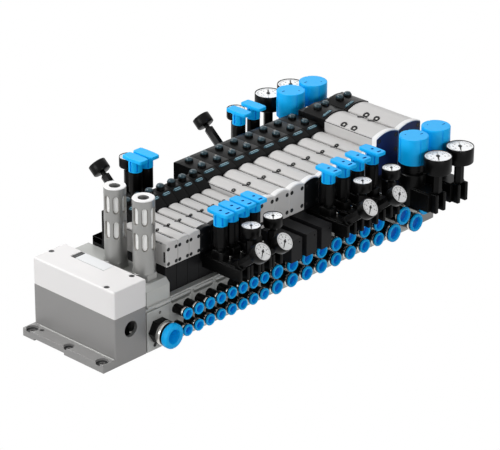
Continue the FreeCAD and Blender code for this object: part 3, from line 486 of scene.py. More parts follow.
def wing_knob(name, x, y, side):
    """Narrow knob: a wing with two dimples over a grooved skirt; back knobs have no dimples."""
    piece = Piece()
    spot = upright(x, y, side)
    front = softened([(-3.4, -12.6), (3.4, -12.6), (3.4, -9.8), (-3.4, -9.8)], 1.3, 4)
    middle = softened([(-2.0, -1.6), (2.0, -1.6), (2.0, 1.6), (-2.0, 1.6)], 1.2, 4)
    # The dimples are lined in a deeper blue, painted shade.
    pits = [(pit, DIMPLE_DEPTH, BLUE_SHADE) for pit in (front, middle)] if side < 0 else []
    piece.slab(spot, wing_outline(), *WING, BLUE, 1.0, pits)
    piece.slab(spot, grooved(SKIRT_RADIUS, 2.2, 6, 1.0), *SKIRT, BLUE)
    piece.lathe(spot, [(SKIRT_RADIUS, 141.4), (8.65, SKIRT[0]), (8.0, 140.0), (3.2, 140.0)], BLUE, 48)
    piece.make(name, body=name, nodes=(name,))


def round_knob(name, x, y, side):
    """Large round knob: smooth, with four fine seams down its side and small marks on top."""
    piece = Piece()
    outline = grooved(ROUND_KNOB_RADIUS, 0.9, 4, 0.7, math.radians(-112), 24)
    mark = rectangle(7.4, 12.6, -4.8, -3.2, 0.5, 2)
    dot = circle(1.0, 12, -6.0, 9.0)
    # The mark and dot are lined in a deeper blue, painted shade.
    piece.slab(upright(x, y, side), outline, *ROUND_KNOB, BLUE, 1.0,
               [(mark, 0.7, BLUE_SHADE), (dot, 0.6, BLUE_SHADE)])
    piece.make(name, body=name, nodes=(name,))


# Pressure gauges: radius and barrel length, and the dial's scale

GAUGE_SMALL = (12.0, 14.0)
GAUGE_LARGE = (18.0, 22.0)
GAUGE_SLOPE = math.radians(40)
GAUGE_LINE = 46.0
NUT_RADIUS = 6.35
DIAL_SINK = 0.9
SCALE_START = math.radians(225)
SCALE_SWEEP = math.radians(270)
SCALE_STEPS = 30
SCALE_NUMBERS = 6


def dial(piece, spot, radius, turn):
    """White face with marks over three quarters of a turn, and the pointer at rest."""
    piece.disc(spot, radius, -DIAL_SINK, DIAL, 48)
    for i in range(SCALE_STEPS + 1):
        angle = SCALE_START - SCALE_SWEEP * i / SCALE_STEPS
        long = i % 5 == 0
        inner = radius * (0.68 if long else 0.76)
        half = radius * (0.03 if long else 0.016)
        turned = spot @ Matrix.Rotation(angle, 4, "Z")
        piece.slab(turned, rectangle(inner, radius * 0.88, -half, half), -DIAL_SINK, -0.84,
                   INK_GREY, floor=False)
    for i in range(SCALE_NUMBERS + 1):
        angle = SCALE_START - SCALE_SWEEP * i / SCALE_NUMBERS
        u, v = polar(radius * 0.52, angle)
        size = radius * 0.07
        piece.slab(spot, rectangle(u - size * 0.6, u + size * 0.6, v - size, v + size), -DIAL_SINK,
                   -0.85, INK_GREY, floor=False)
    needle = spot @ Matrix.Rotation(SCALE_START + turn, 4, "Z")
    width = radius * 0.04
    piece.slab(needle, [(-radius * 0.26, -width * 1.8), (radius * 0.1, -width * 1.8),
                        (radius * 0.84, -width * 0.5), (radius * 0.84, width * 0.5),
                        (radius * 0.1, width * 1.8), (-radius * 0.26, width * 1.8)], -0.7, -0.5, INK)
    piece.lathe(spot, [(radius * 0.15, -DIAL_SINK), (radius * 0.15, -0.35), (radius * 0.1, -0.2),
                       (0.0, -0.2)], INK, 20)


def gauge(piece, face, foot, radius, length, turn):
    """Barrel, dial, neck and hexagon along the line from the dial to the foot."""
    axis = (Vector(face) - Vector(foot)).normalized()
    spot = along(face, Vector(face) + axis)
    rim = radius * 0.05
    piece.lathe(spot, [(radius - rim - 0.2, -DIAL_SINK), (radius - rim, -0.15), (radius - rim * 0.6, 0.0),
                       (radius - 0.25, -0.1), (radius, -0.5), (radius, -length + 1.6),
                       (radius - 0.5, -length + 0.6), (radius - 1.6, -length), (3.4, -length - 0.4),
                       (3.2, -length - 5.2)], BLACK_FINE, 48)
    dial(piece, spot, radius - rim, turn)
    total = (Vector(face) - Vector(foot)).length
    nut_top = -length - 5.0
    piece.slab(spot, circle(NUT_RADIUS, 6), -total, nut_top, BLACK_FINE, 0.7)
    piece.lathe(spot, [(4.2, nut_top + 0.9), (4.2, nut_top - 0.2)], BLACK_FINE, 24)
    piece.lathe(spot, [(3.2, nut_top + 1.0), (4.2, nut_top + 0.9)], BLACK_FINE, 24)


# Regulators, in front of the valves and behind them

DECK = 97.0
FORK = 40.5
FORK_DEPTH = 9.0
BLOCK_HALF = 9.0
LARGE_LOW = 71.5


def regulator_places():
    """Family, number in the row, x, knob y and outward direction of every regulator."""
    places = []
    for side in (-1, 1):
        chosen = FRONT_REGULATORS if side < 0 else BACK_REGULATORS
        places += [("small", k, SMALL_X[k], 2.5 + 92.0 * side, side) for k in chosen]
        places += [("medium", k, MEDIUM_X[k], 2.5 + 102.0 * side, side) for k in chosen]
        places += [("large", k, LARGE_X[k], -9.0 + 105.5 * side, side) for k in range(2)]
    return places


def tilted(k):
    """Whether a narrow or medium regulator carries its gauge on a sloping stem."""
    return (k - FRONT_REGULATORS[0]) % 2 == 0


def gauge_line(family, k, x, y, side):
    """Middle of the dial, foot of its stem, radius and barrel length of a regulator's gauge."""
    if family == "large":
        face = (x, y + side * 40.2, 146.8)
        return face, (x, face[1], DECK), *GAUGE_LARGE
    if not tilted(k):
        face = (x, y + side * 32.0, 143.8)
        return face, (x, face[1], DECK), *GAUGE_SMALL
    face = (x, y + side * 70.0, 128.4)
    foot = (x, face[1] - side * GAUGE_LINE * math.cos(GAUGE_SLOPE),
            face[2] - GAUGE_LINE * math.sin(GAUGE_SLOPE))
    return face, foot, *GAUGE_SMALL


def regulator(piece, family, k, x, y, side):
    """Block with its forked end, deck, foot and the waisted bonnet under the knob."""
    spot = upright(x, y, side)
    if family == "large":
        large_regulator(piece, spot)
        return
    inner = 23.0 if family == "small" else 28.0
    slot, half = FORK - FORK_DEPTH, BLOCK_HALF
    sides = [(-half, inner), (-half, -FORK), (-4.4, -FORK), (-4.4, -slot), (4.4, -slot),
             (4.4, -FORK), (half, -FORK), (half, inner)]
    piece.slab(spot, softened(sides, 0.6, 2), 79.6, 95.4, BLACK, 0.6)
    piece.slab(spot, rectangle(-7.6, 7.6, -slot + 0.5, inner - 2, 1.0, 2), 95.3, DECK, BLACK, 0.5)
    foot = [(-5.8, -9.5), (5.8, -9.5), (7.4, -5.0), (7.4, 8.0), (-7.4, 8.0), (-7.4, -5.0)]
    piece.slab(spot, softened(foot, 1.0, 3), 96.8, 107.0, BLACK_FINE, 1.6)
    piece.lathe(spot, [(6.2, 106.5), (6.2, 111.0), (8.2, 113.0)], BLACK_FINE, 40)
    bonnet = softened(circle(9.0, 8), 1.2, 3)
    piece.slab(spot @ Matrix.Rotation(math.radians(22.5), 4, "Z"), bonnet, 112.6, 138.0, BLACK_FINE, 0.5)
    piece.lathe(spot, [(8.3, 137.4), (8.3, 139.6), (3.0, 139.9)], BLACK, 40)
    clip = spot @ Matrix.Translation((4.6, -11.2, 99.4))
    piece.lathe(clip, [(1.5, -2.6), (1.5, 0.8), (1.1, 1.2), (0.0, 1.2)], STEEL, 16)
    if tilted(k):
        face, stem_foot, _, _ = gauge_line(family, k, x, y, side)
        axis = (Vector(stem_foot) - Vector(face)).normalized()
        socket = along(stem_foot, Vector(stem_foot) - axis)
        piece.lathe(socket, [(6.0, 1.2), (7.0, 0.4), (7.0, -12.0)], BLACK, 32)
        piece.lathe(socket, [(0.0, 1.2), (6.0, 1.2)], BLACK, 32)


def large_regulator(piece, spot):
    """Wide block behind a round tower, with a narrower foot and a forked nose in front."""
    block = rectangle(-20.0, 20.0, 0.0, 34.5, 1.0, 2)
    piece.slab(spot, block, LARGE_LOW, DECK, BLACK, 0.8)
    piece.lathe(spot, [(16.5, LARGE_LOW), (16.5, 112.0), (15.6, 113.0), (13.0, 113.0), (13.0, 115.6),
                       (15.5, 117.2), (15.5, 126.4), (14.8, 127.2), (3.0, 127.2)], BLACK_FINE, 64)
    piece.slab(spot, rectangle(-14.0, 14.0, -38.5, 0.0, 1.0, 2), LARGE_LOW, 95.4, BLACK, 0.8)
    piece.slab(spot, rectangle(-12.6, 12.6, -37.0, 0.0, 1.0, 2), 95.2, DECK, BLACK, 0.6)
    for side in (-1, 1):
        tine = rectangle(*sorted((side * 4.4, side * 10.0)), -48.0, -38.0, 1.2, 3)
        piece.slab(spot, tine, LARGE_LOW, 96.4, BLACK, 1.6)


def regulators():
    """Blocks and gauges as one piece each, and every knob as a piece of its own."""
    bodies = Piece()
    gauges = Piece()
    for family, k, x, y, side in regulator_places():
        regulator(bodies, family, k, x, y, side)
        face, foot, radius, length = gauge_line(family, k, x, y, side)
        gauge(gauges, face, foot, radius, length, 0.0 if side < 0 else math.pi)
        name = "knob_%s_%s_%d" % ("front" if side < 0 else "back", family, k + 1)
        (round_knob if family == "large" else wing_knob)(name, x, y, side)
    bodies.make("regulator_blocks", nodes=("regulator_bodies",))
    gauges.make("gauges_with_dials", nodes=("pressure_gauges", "gauge_dials"))


# Valves: half width, front, back of the light body, height of the sides, rise of the roof,
# radius of the brow, places and radius of the cap's screws, radius of the roof's screw sinks

SMALL_VALVE = {"half": 9.2, "front": -65.1, "back": 10.0, "roof": 127.8, "crown": 1.4, "brow": 1.0,
               "seat": 2.8, "high": 120.7, "low": 101.7, "screw": 2.3, "face": CAP_LIGHT, "mark": 2.0}
MEDIUM_VALVE = {"half": 13.2, "front": -72.2, "back": 17.0, "roof": 134.0, "crown": 3.0, "brow": 1.6,
                "seat": 4.0, "high": 128.2, "low": 104.4, "screw": 2.6, "face": CAP_LIGHT, "mark": 2.7}
LARGE_VALVE = {"half": 21.2, "front": -71.3, "back": 17.4, "roof": 149.6, "crown": 4.8, "brow": 0.8,
               "seat": 5.2, "high": 145.2, "low": 125.3, "screw": 3.0, "face": NAVY, "mark": 4.2}
CAP_DEPTH = 8.0
SHOULDER = 1.5
SEAM_DEPTH = 2.0
ARCH_STEPS = 10


def arch(x, y, half, bottom, edge, crown, corner=0.7):
    """Section across a valve: straight sides, softened shoulders and an arched roof."""
    points = [(x - half, y, bottom), (x + half, y, bottom), (x + half, y, edge - corner)]
    for i in range(ARCH_STEPS + 1):
        t = 1 - 2 * i / ARCH_STEPS
        rise = crown * (1 - t * t)
        points.append((x + (half - corner * 0.4) * t, y, edge - corner * 0.15 + rise))
    points.append((x - half, y, edge - corner))
    return points


def valve_body(piece, x, kind):
    """Arched light housing; strips along its shoulders with near-black tops are painted shade for the
    seams.
    """
    half, crown, roof = kind["half"], kind["crown"], kind["roof"]
    start, end = kind["front"] + CAP_DEPTH, kind["back"]
    sections = [arch(x, y, half - SHOULDER, PLATE_TOP + 0.4, roof - 0.1, crown) for y in (start, end)]
    piece.loft(sections, VALVE)
    low = roof - SEAM_DEPTH
    for side in (-1, 1):
        x0, x1 = sorted((x + side * (half - SHOULDER - 0.3), x + side * half))
        piece.slab(on_top(), rectangle(x0, x1, start, end), PLATE_TOP + 0.4, low, VALVE, top=SEAM_SHADE)


def valve_cap(piece, x, kind, face, brow_tone):
    """End block of a valve: a top with a rounded brow in the given tone, which on most valves is white as a
    painted highlight, and a flat face plate with dark screws.
    """
    half, crown, front, base = kind["half"], kind["crown"], kind["front"], PLATE_TOP + 0.3
    roof, brow = kind["roof"], kind["brow"]
    rings = []
    for i in range(5):
        a = math.radians(22.5 * i)
        rings.append(arch(x, front + 0.5 + brow * (1 - math.cos(a)), half - 0.5 * (1 - math.sin(a)), base,
                          roof - brow * (1 - math.sin(a)), crown, 0.4))
    rings.append(arch(x, front + CAP_DEPTH - 0.15, half, base, roof, crown, 0.4))
    piece.loft(rings, brow_tone)
    rim = 0.15 if face is CAP_SHADE else 0.35
    plate = [arch(x, front + depth, half - rim - shrink, base + shrink, roof - brow * 0.6 - 0.3 - shrink,
                  crown, 0.8) for depth, shrink in ((0.0, 0.3), (0.3, 0.0), (1.6, 0.0))]
    piece.loft(plate, face)
    for du in (-half + kind["seat"], half - kind["seat"]):
        for z in (kind["low"], kind["high"]):
            sunk_screw(piece, on_front(x + du, front, z), kind["screw"], DARK_STEEL_AND_SHADE)


def roof_place(x, y, kind, inset, side):
    """Place on a valve's arched roof, at a distance in from one of its long edges."""
    half, crown = kind["half"], kind["crown"]
    t = 1 - inset / half
    slope = math.atan(2 * crown * t / half)
    spot = on_top(x + side * (half - inset), y, kind["roof"] + crown * (1 - t * t))
    return spot @ Matrix.Rotation(side * slope, 4, "Y")


def roof_screw(piece, x, y, kind):
    """Screw sunk in the left-hand edge of a roof: a round sink painted dark as its shade, open to the edge.
    """
    radius = kind["mark"]
    sink = roof_place(x, y, kind, radius + 0.6, -1)
    arc = [polar(radius, math.radians(15 * i)) for i in range(-6, 7)]
    outline = [(-radius * 0.9, -radius * 0.75)] + arc + [(-radius * 0.9, radius * 0.75)]
    piece.slab(sink, outline, -1.6, 0.25, SEAM_SHADE, 0.05)
    head = sink @ Matrix.Translation((-radius * 0.3, -radius * 0.3, 0.2))
    size = radius * (0.4 if kind is LARGE_VALVE else 0.22)
    piece.lathe(head, [(size, 0.0), (size, 0.35), (size * 0.5, 0.35), (size * 0.45, 0.15), (0.0, 0.15)],
                STEEL, 16)


def roof_notch(piece, x, y, kind):
    """Narrow notch in the right-hand edge of a roof, beside the next valve's screw, painted dark as its
    shade.
    """
    long, wide = kind["mark"] * 1.35, kind["mark"] * 0.5
    lens = softened([(-long, -wide * 0.5), (long, -wide), (long, wide), (-long, wide * 0.5)], 0.4, 2)
    piece.slab(roof_place(x, y, kind, long + 0.3, 1), lens, -1.2, 0.22, SEAM_SHADE, 0.05)


def valves():
    """Housings and end blocks of all valves, with the marks on their roofs."""
    bodies = Piece()
    caps = Piece()
    for xs, kind, marks in ((SMALL_X, SMALL_VALVE, (-27.5,)), (MEDIUM_X, MEDIUM_VALVE, (-25.0,)),
                            (LARGE_X, LARGE_VALVE, (-11.5, -29.0))):
        for x in xs:
            valve_body(bodies, x, kind)
            # Valves with a regulator in front take near-black end faces, painted shade of the regulator,
            # and the narrow ones a near-black brow too; the medium and wide valves get a white brow, a
            # painted highlight.
            carries = kind is not LARGE_VALVE and xs.index(x) in FRONT_REGULATORS
            face = CAP_SHADE if carries else kind["face"]
            if kind is SMALL_VALVE:
                valve_cap(caps, x, kind, face, face if carries else VALVE)
            else:
                valve_cap(caps, x, kind, face, EDGE_HIGHLIGHT)
            for y in marks:
                roof_screw(bodies, x, y, kind)
                if x != xs[-1]:
                    roof_notch(bodies, x, y, kind)
    # Near-black mark on the left side of the first valve: painted shade.
    left = on_left(SMALL_X[0] - SMALL_VALVE["half"], 0.0, 0.0)
    bodies.slab(left, rectangle(59.6, 62.2, 103.0, 117.0, 0.8, 2), -0.6, 0.25, SEAM_SHADE, 0.1)
    bodies.make("valve_housings", nodes=("valve_bodies",))
    caps.make("valve_end_blocks", nodes=("valve_end_caps",))


# Pilots: end, top, fall of the end's edge, place of the light window; then the buttons' places

PILOT_SMALL = {"back": 46.5, "top": 141.0, "drop": 5.0, "window": 21.0}
PILOT_MEDIUM = {"back": 75.9, "top": 143.0, "drop": 1.0, "window": 26.5}
PILOT_SLOPE = 14.0
BUTTON_TOP = 148.3
BUTTON_TOP_LARGE = 160.0
BUTTON_SMALL_Y = 31.6
BUTTON_MEDIUM_Y = (39.2, 61.6)
BUTTON_LARGE_Y = 42.5
BUTTON_LARGE_X = 7.5
STEM_RADIUS = 3.4
STEM_LENGTH = 8.4
DOME_RADIUS = 4.7


def window(piece, spot, length, width, height):
    """Lens-shaped light window that bulges from a surface."""
    outline = softened([(-length, -width * 0.25), (-length * 0.6, -width), (length * 0.6, -width),
                        (length, -width * 0.25), (length, width * 0.25), (length * 0.6, width),
                        (-length * 0.6, width), (-length, width * 0.25)], 1.2, 4)
    rings = [outline, offset(outline, 0.25), offset(outline, width * 0.55)]
    points = [[tuple(spot @ Vector((u, v, w))) for u, v in ring]
              for ring, w in zip(rings, (-0.4, height * 0.6, height))]
    piece.loft([list(reversed(ring)) for ring in points], WINDOW)
    # Two pale strips along the lens, a painted highlight.
    for v in (-width * 0.42, width * 0.42):
        strip = rectangle(-length * 0.72, length * 0.72, v - width * 0.16, v + width * 0.16, 0.3, 2)
        piece.slab(spot, strip, 0.0, height + 0.06, WINDOW_HIGHLIGHT, 0.05)


def pilot(piece, x, kind, shape, button_places):
    """Black pilot housing: upright front, slope with the light window, and round collars."""
    half, front, back, top = kind["half"], kind["back"], shape["back"], shape["top"]
    shoulder = kind["roof"] + kind["crown"] + 0.4
    side = [(-back, PLATE_TOP), (-front, PLATE_TOP), (-front, shoulder), (-front - PILOT_SLOPE, top),
            (-back + 8.0, top), (-back, top - shape["drop"])]
    piece.slab(on_left(x + half, 0, 0), softened(side, 1.2, 3), 0.0, 2 * half, BLACK_FINE, 0.5)
    rise = top - shoulder
    middle = shoulder + rise * (shape["window"] - front) / PILOT_SLOPE
    slope = place((x, shape["window"], middle), (1, 0, 0), (0, PILOT_SLOPE, rise))
    window(piece, slope, half * 0.72, 2.4, 1.0)
    rim = BUTTON_TOP
    for y in button_places:
        piece.lathe(on_top(x, y, 0), [(5.6, top - 0.3), (5.5, top + 1.2), (5.4, top + 1.8),
                                      (5.4, rim - 2.8), (5.2, rim - 2.5), (4.9, rim - 2.8),
                                      (4.9, rim - 4.6), (3.5, rim - 4.6)], BLACK_FINE, 28)


def pilots():
    """Pilot housings of all valves, with their collars and screws."""
    piece = Piece()
    half = SMALL_VALVE["half"]
    for x in SMALL_X:
        pilot(piece, x, SMALL_VALVE, PILOT_SMALL, (BUTTON_SMALL_Y,))
        screw(piece, on_top(x + half * 0.72, 41.0, PILOT_SMALL["top"]), 1.5, 1.2, STEEL)
        piece.box(x - half, x + half, 46.0, 63.0, 90.0, PLATE_TOP, BLACK, 0.5)
    for x in MEDIUM_X:
        pilot(piece, x, MEDIUM_VALVE, PILOT_MEDIUM, BUTTON_MEDIUM_Y)
        for y in (50.4, 71.6):
            screw(piece, on_top(x + 9.6, y, PILOT_MEDIUM["top"]), 1.5, 0.9, ZINC_AND_SLOT_SHADE)
    for x in LARGE_X:
        large_pilot(piece, x)
    piece.make("pilot_housings", nodes=("pilot_heads",))


def large_pilot(piece, x):
    """Pilot housing of a wide valve: an arched front part, a low flat end, collars for two domes side by
    side.
    """
    top, crown, half = 150.2, 5.6, LARGE_VALVE["half"]
    sections = [arch(x, 17.6, half - 0.4, PLATE_TOP + 0.3, top - 0.4, crown),
                arch(x, 18.2, half, PLATE_TOP, top, crown), arch(x, 56.2, half, PLATE_TOP, top, crown),
                arch(x, 57.0, half - 0.6, PLATE_TOP + 0.3, top - 0.8, crown)]
    piece.loft(sections, BLACK_FINE)
    piece.box(x - half, x + half, 56.0, 64.0, PLATE_TOP, top, BLACK_FINE, 0.5)
    lean = math.radians(-14)
    spot = on_top(x - 10.5, 23.0, top + crown * 0.75) @ Matrix.Rotation(lean, 4, "Y")
    window(piece, spot, 9.0, 2.0, 0.8)
    for side in (-1, 1):
        base = on_top(x + side * BUTTON_LARGE_X, BUTTON_LARGE_Y, 0)
        piece.lathe(base, [(5.6, 152.0), (5.6, 156.6), (5.4, 157.2), (5.1, 157.4), (4.9, 157.2),
                           (4.9, 155.4), (3.5, 155.4)], BLACK_FINE, 28)
    for dx in (-8.0, 8.0):
        screw(piece, on_top(x + dx, 60.5, top), 1.5, 1.2, STEEL)


def dome(name, x, y, top):
    """Override button: a low dome on a short round stem."""
    piece = Piece()
    spot = on_top(x, y, 0)
    profile = [(STEM_RADIUS, top - STEM_LENGTH), (STEM_RADIUS, top - 3.0), (DOME_RADIUS, top - 3.0),
               (DOME_RADIUS, top - 1.6)]
    profile += [(DOME_RADIUS * math.cos(a), top - 1.6 + 2.4 * math.sin(a))
                for a in (math.radians(15 * i) for i in range(1, 7))]
    piece.lathe(spot, profile, DOME, 28)
    below = place((x, y, 0), (0, 1, 0), (1, 0, 0))
    piece.disc(below, STEM_RADIUS, STEM_LENGTH - top, DOME, 28)
    piece.make(name, body=name, nodes=(name,))


def buttons():
    """Every override button as a piece of its own."""
    for k, x in enumerate(SMALL_X):
        dome("button_small_%d_a" % (k + 1), x, BUTTON_SMALL_Y, BUTTON_TOP)
    for k, x in enumerate(MEDIUM_X):
        for letter, y in zip("ab", BUTTON_MEDIUM_Y):
            dome("button_medium_%d_%s" % (k + 1, letter), x, y, BUTTON_TOP)
    for k, x in enumerate(LARGE_X):
        for letter, side in (("a", -1), ("b", 1)):
            dome("button_large_%d_%s" % (k + 1, letter), x + side * BUTTON_LARGE_X, BUTTON_LARGE_Y,
                 BUTTON_TOP_LARGE)


# Small details on the castings and the cover; a sink is (x, y, its radius, the hole's radius)

FLANGE_EDGE = -299.0
FLANGE_FLOOR = 7.7
FLANGE_SINKS = ((-292.05, -60.5, 7.6, 3.3), (-292.05, 60.5, 7.6, 3.3), (-292.95, -4.4, 6.3, 2.1))


def base_edges():
    """Left edge and width of every sub-base."""
    edges = [(SMALL_X[k] - 9.5, 38.0) for k in range(0, 8, 2)]
    edges += [(MEDIUM_X[k] - 13.5, 54.0) for k in range(0, 8, 2)]
    return edges + [(x - 21.5, 43.0) for x in LARGE_X]


def base_details():
    """Bright lips along the long recesses, sinks in the flange with floors painted dark as their shade, and
    the supply plate's bar.
    """
    piece = Piece()
    front = on_front(0.0, Y_FRONT, 0.0)
    for x, width in base_edges():
        end = x + width
        piece.slab(front, rectangle(x + 2.6, end - 3.0, 54.6, 58.4, 1.8, 4), -2.0, 0.5, SUPPLY, 0.6)
        piece.slab(front, rectangle(x + 1.0, end - 1.4, 60.3, 61.5), -0.3, 0.25, SUPPLY, 0.1)
        piece.slab(front, rectangle(x + 1.6, end - 2.0, 46.6, 47.4), -0.3, 0.3, SUPPLY, 0.1)
    piece.slab(front, rectangle(-215.6, -188.8, 56.2, 60.4, 2.0, 5), 0.0, 3.4, SUPPLY, 0.9)
    sunk_screw(piece, on_front(-205.2, Y_FRONT, 46.5), 1.8, ZINC_AND_SLOT_SHADE)
    # A near-black round spot, painted shade of a hole.
    piece.slab(on_front(-214.2, Y_FRONT, 6.3), circle(2.6, 20), -0.5, 0.2, SEAM_SHADE, 0.05)
    for x, y, radius, hole in FLANGE_SINKS:
        sink(piece, x, y, radius, hole)
    piece.box(-281.4, -280.0, -69.0, 60.0, 10.5, 11.4, SUPPLY, 0.3)
    piece.box(-250.2, -239.0, -64.6, -63.4, 33.4, 35.0, STEEL, 0.2)
    piece.make("castings_details")


def sink(piece, x, y, radius, hole):
    """Floor of a round recess in the flange, painted dark as its shade, with the hole left open."""
    floor = [(max(u, FLANGE_EDGE - x), v) for u, v in circle(radius, 32)]
    piece.cap(on_top(x, y, 0.0), [floor, circle(hole + 0.2, 24)], FLANGE_FLOOR, DARK_STEEL_AND_SHADE)


def cover_details():
    """Bare plate in the cover's recess with a near-black band round it, painted shade of the recess, and a
    slot with round ends beyond it, painted dark as its shade.
    """
    piece = Piece()
    piece.slab(on_top(), rectangle(-246.2, -229.0, -17.3, 31.6, 0.8, 2), 97.3, 98.5, PLATE, 0.25)
    piece.slab(on_top(), rectangle(-246.6, -228.6, -17.8, 39.2), 97.2, 97.5, SEAM_SHADE)
    piece.slab(on_top(), rectangle(-245.0, -230.2, 33.4, 38.0, 2.2, 4), 97.3, 97.9, DARK_STEEL_AND_SHADE, 0.2)
    piece.make("cover_plate_bare")


# Silencers: two slotted tubes, with the slots' sizes and places

SILENCER_X = -207.65
SILENCER_Y = (-46.8, 1.6)
SILENCER_FOOT = 95.0
SILENCER_TOP = 190.0
SILENCER_RADIUS = 13.7
MOUTH_RADIUS = 6.8
SLOT_FLOOR = 11.2
SLOT_HALF = 3.7
SLOT_STRAIGHT = 7.3
SLOT_HEIGHTS = (137.0, 170.0)
SLOT_COUNT = 7
SLOT_TURN = math.radians(25.7)
WALL_STEPS = 168
WALL_HEIGHTS = [SILENCER_FOOT, 120.0] + [125.0 + 0.75 * i for i in range(76)] + [184.0, SILENCER_TOP]


def in_slot(angle, height):
    """Whether a spot of a silencer's wall lies inside one of its round-ended slots."""
    pitch = 2 * math.pi / SLOT_COUNT
    across = SILENCER_RADIUS * abs((angle - SLOT_TURN + pitch / 2) % pitch - pitch / 2)
    for middle in SLOT_HEIGHTS:
        beyond = max(abs(height - middle) - SLOT_STRAIGHT, 0.0)
        if math.hypot(across, beyond) <= SLOT_HALF:
            return True
    return False


def silencer(piece, y):
    """Slotted tube on a hexagon; the slot floors are white as a painted highlight, the slot walls darker as
    painted shade, and the top rim white as a painted highlight.
    """
    spot = on_top(SILENCER_X, y, 0.0)
    piece.slab(spot, circle(15.4, 6), 86.0, SILENCER_FOOT, SILENCER, 0.6)
    points = []
    sunk = []
    for height in WALL_HEIGHTS:
        for i in range(WALL_STEPS):
            angle = 2 * math.pi * i / WALL_STEPS
            sunk.append(in_slot(angle, height))
            radius = SLOT_FLOOR if sunk[-1] else SILENCER_RADIUS
            points.append(spot @ Vector((*polar(radius, angle), height)))
    # Slot floors take a white painted highlight and slot walls a darker painted shade.
    groups = {SILENCER: [], ZINC_AND_SLOT_SHADE: [], SLOT_HIGHLIGHT: []}
    for face in bands(len(WALL_HEIGHTS), WALL_STEPS):
        depth = sum(sunk[corner] for corner in face)
        groups[SLOT_HIGHLIGHT if depth == 4 else ZINC_AND_SLOT_SHADE if depth else SILENCER].append(face)
    start = len(piece.points)
    piece.add(points, [], SILENCER)
    for material, faces in groups.items():
        if material not in piece.materials:
            piece.materials.append(material)
        piece.faces += [tuple(start + corner for corner in face) for face in faces]
        piece.slots += [piece.materials.index(material)] * len(faces)
    # The top rim in white, a painted highlight.
    piece.lathe(spot, [(SILENCER_RADIUS, SILENCER_TOP), (13.2, 190.9), (7.4, 190.9), (MOUTH_RADIUS, 190.4)],
                EDGE_HIGHLIGHT, 48)
    piece.lathe(spot, [(MOUTH_RADIUS, 190.4), (6.6, 189.0), (6.6, 150.0), (0.0, 150.0)], SILENCER, 48)


def silencers():
    """Both silencers, as one piece."""
    piece = Piece()
    for y in SILENCER_Y:
        silencer(piece, y)
    piece.make("silencers_slotted", nodes=("mufflers",))


# Materials of the frame's own nodes that stay in view

# The stacking plates take a lighter black, a painted sheen of their flat faces.
NODE_FINISH = {
    "electrical_housing": CAST, "electrical_cover": COVER, "cover_screws": DARK_STEEL_AND_SHADE,
    "terminal_board": BOARD, "supply_plate": SUPPLY, "mufflers": SILENCER, "sub_bases": SUPPLY,
    "end_plate": CAST, "stacking_plates": PLATE_BLACK_SHEEN,
}


def finish_nodes():
    """Give the frame's own nodes the finish of the real pieces."""
    for name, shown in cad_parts.items():
        material = NODE_FINISH.get(name, BLUE if name.startswith("knob") else BLACK)
        shown.data.materials.clear()
        shown.data.materials.append(material)


# Floor, light and camera

FLOOR_HALF = 8.0
FLOOR_GREY = "#BEBEBE"
WORLD_TINT = "#E8EAEE"
WORLD_STRENGTH = 0.26
# Softboxes: name, place, aim, size and power
SOFTBOXES = (
    ("key_above", (-0.6, 1.3, 2.0), (0, 0, 0.08), (0.9, 0.9), 41.0),
    ("side_left", (-2.6, 0.5, 0.9), (0, 0, 0.1), (1.2, 0.9), 29.0),
    ("fill_front", (-0.6, -2.7, 0.9), (0, 0, 0.08), (1.4, 0.7), 26.0),
    ("rim_back", (1.9, 1.7, 1.2), (0, 0, 0.1), (1.4, 0.6), 4.0),
)


def white_where_seen(tree, lit, white):
    """Plain white for the camera and in reflections and glass, the lit shader for all other light."""
    path = add_node(tree, "ShaderNodeLightPath")
    mirrored = add_node(tree, "ShaderNodeMath", {"operation": "MAXIMUM"})
    seen = add_node(tree, "ShaderNodeMath", {"operation": "MAXIMUM"})
    mixed = add_node(tree, "ShaderNodeMixShader")
    tree.links.new(path.outputs["Is Glossy Ray"], mirrored.inputs[0])
    tree.links.new(path.outputs["Is Transmission Ray"], mirrored.inputs[1])
    tree.links.new(path.outputs["Is Camera Ray"], seen.inputs[0])
    tree.links.new(mirrored.outputs["Value"], seen.inputs[1])
    tree.links.new(seen.outputs["Value"], mixed.inputs[0])
    tree.links.new(lit, mixed.inputs[1])
    tree.links.new(white, mixed.inputs[2])
    return mixed.outputs["Shader"]


def white_floor():
    """Pale floor that shows plain white, in reflections too, and lights the object softly."""
    material = bpy.data.materials.new("paper_white_seamless")
    material.use_nodes = True
    tree = material.node_tree
    tree.nodes.clear()
    matt = add_node(tree, "ShaderNodeBsdfDiffuse", {"Color": linear(FLOOR_GREY)})
    plain = add_node(tree, "ShaderNodeEmission", {"Color": (1, 1, 1, 1), "Strength": 1.0})
    shown = white_where_seen(tree, matt.outputs["BSDF"], plain.outputs["Emission"])
    add_node(tree, "ShaderNodeOutputMaterial", (), {"Surface": shown})
    mesh = bpy.data.meshes.new("floor")
    corners = rectangle(-FLOOR_HALF, FLOOR_HALF, -FLOOR_HALF, FLOOR_HALF)
    mesh.from_pydata([(x, y, 0) for x, y in corners], [], [(0, 1, 2, 3)])
    mesh.materials.append(material)
    floor = bpy.data.objects.new("floor", mesh)
    bpy.context.scene.collection.objects.link(floor)


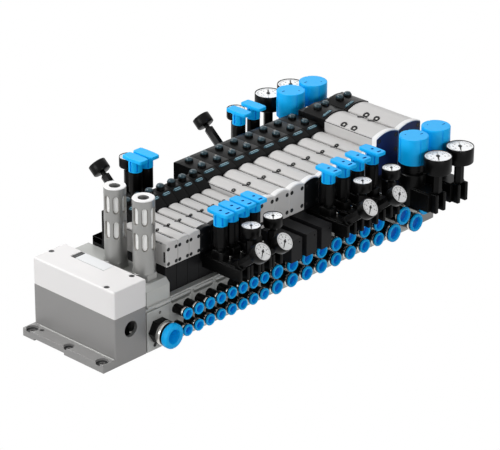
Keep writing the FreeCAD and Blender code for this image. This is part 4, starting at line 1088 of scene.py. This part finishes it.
def studio_world():
    """White surroundings, in reflections too, and a softer even light on the object."""
    world = bpy.data.worlds.new("studio")
    bpy.context.scene.world = world
    world.use_nodes = True
    tree = world.node_tree
    tree.nodes.clear()
    seen = add_node(tree, "ShaderNodeBackground", {"Color": (1, 1, 1, 1), "Strength": 1.0})
    soft = add_node(tree, "ShaderNodeBackground",
                    {"Color": linear(WORLD_TINT), "Strength": WORLD_STRENGTH})
    shown = white_where_seen(tree, soft.outputs["Background"], seen.outputs["Background"])
    add_node(tree, "ShaderNodeOutputWorld", (), {"Surface": shown})


def softbox(name, spot, target, size, power):
    """Rectangular area light that looks from its place at a target."""
    light = bpy.data.lights.new(name, "AREA")
    light.shape = "RECTANGLE"
    light.size, light.size_y = size
    light.energy = power
    made = bpy.data.objects.new(name, light)
    made.location = spot
    made.rotation_euler = (Vector(target) - Vector(spot)).to_track_quat("-Z", "Y").to_euler()
    bpy.context.scene.collection.objects.link(made)


CAMERA_PLACE = (-2.27545, -2.1822, 1.5699)
CAMERA_AZIMUTH = math.radians(-46.49)
CAMERA_ELEVATION = math.radians(25.47)
CAMERA_ROLL = math.radians(0.25)
CAMERA_FOCAL_PIXELS = 2795.1
IMAGE_WIDTH = 500
SENSOR_WIDTH = 36.0


def camera():
    """Camera at the fitted place and angle, with the focal length given in pixels of the image."""
    back = Vector((math.sin(CAMERA_AZIMUTH) * math.cos(CAMERA_ELEVATION),
                   -math.cos(CAMERA_AZIMUTH) * math.cos(CAMERA_ELEVATION), math.sin(CAMERA_ELEVATION)))
    right = Vector((0, 0, 1)).cross(back).normalized()
    up = back.cross(right)
    turn = Matrix.Rotation(CAMERA_ROLL, 3, back)
    level = Matrix((right, up, back)).transposed()
    data = bpy.data.cameras.new("camera")
    data.sensor_width = SENSOR_WIDTH
    data.lens = CAMERA_FOCAL_PIXELS * SENSOR_WIDTH / IMAGE_WIDTH
    data.clip_end = 50.0
    made = bpy.data.objects.new("camera", data)
    made.matrix_world = Matrix.Translation(CAMERA_PLACE) @ (turn @ level).to_4x4()
    bpy.context.scene.collection.objects.link(made)
    bpy.context.scene.camera = made


finish_nodes()
fittings()
supply_fitting()
regulators()
valves()
pilots()
buttons()
base_details()
cover_details()
silencers()
white_floor()
studio_world()
for box in SOFTBOXES:
    softbox(*box)
camera()
bpy.context.scene.view_settings.view_transform = "Standard"
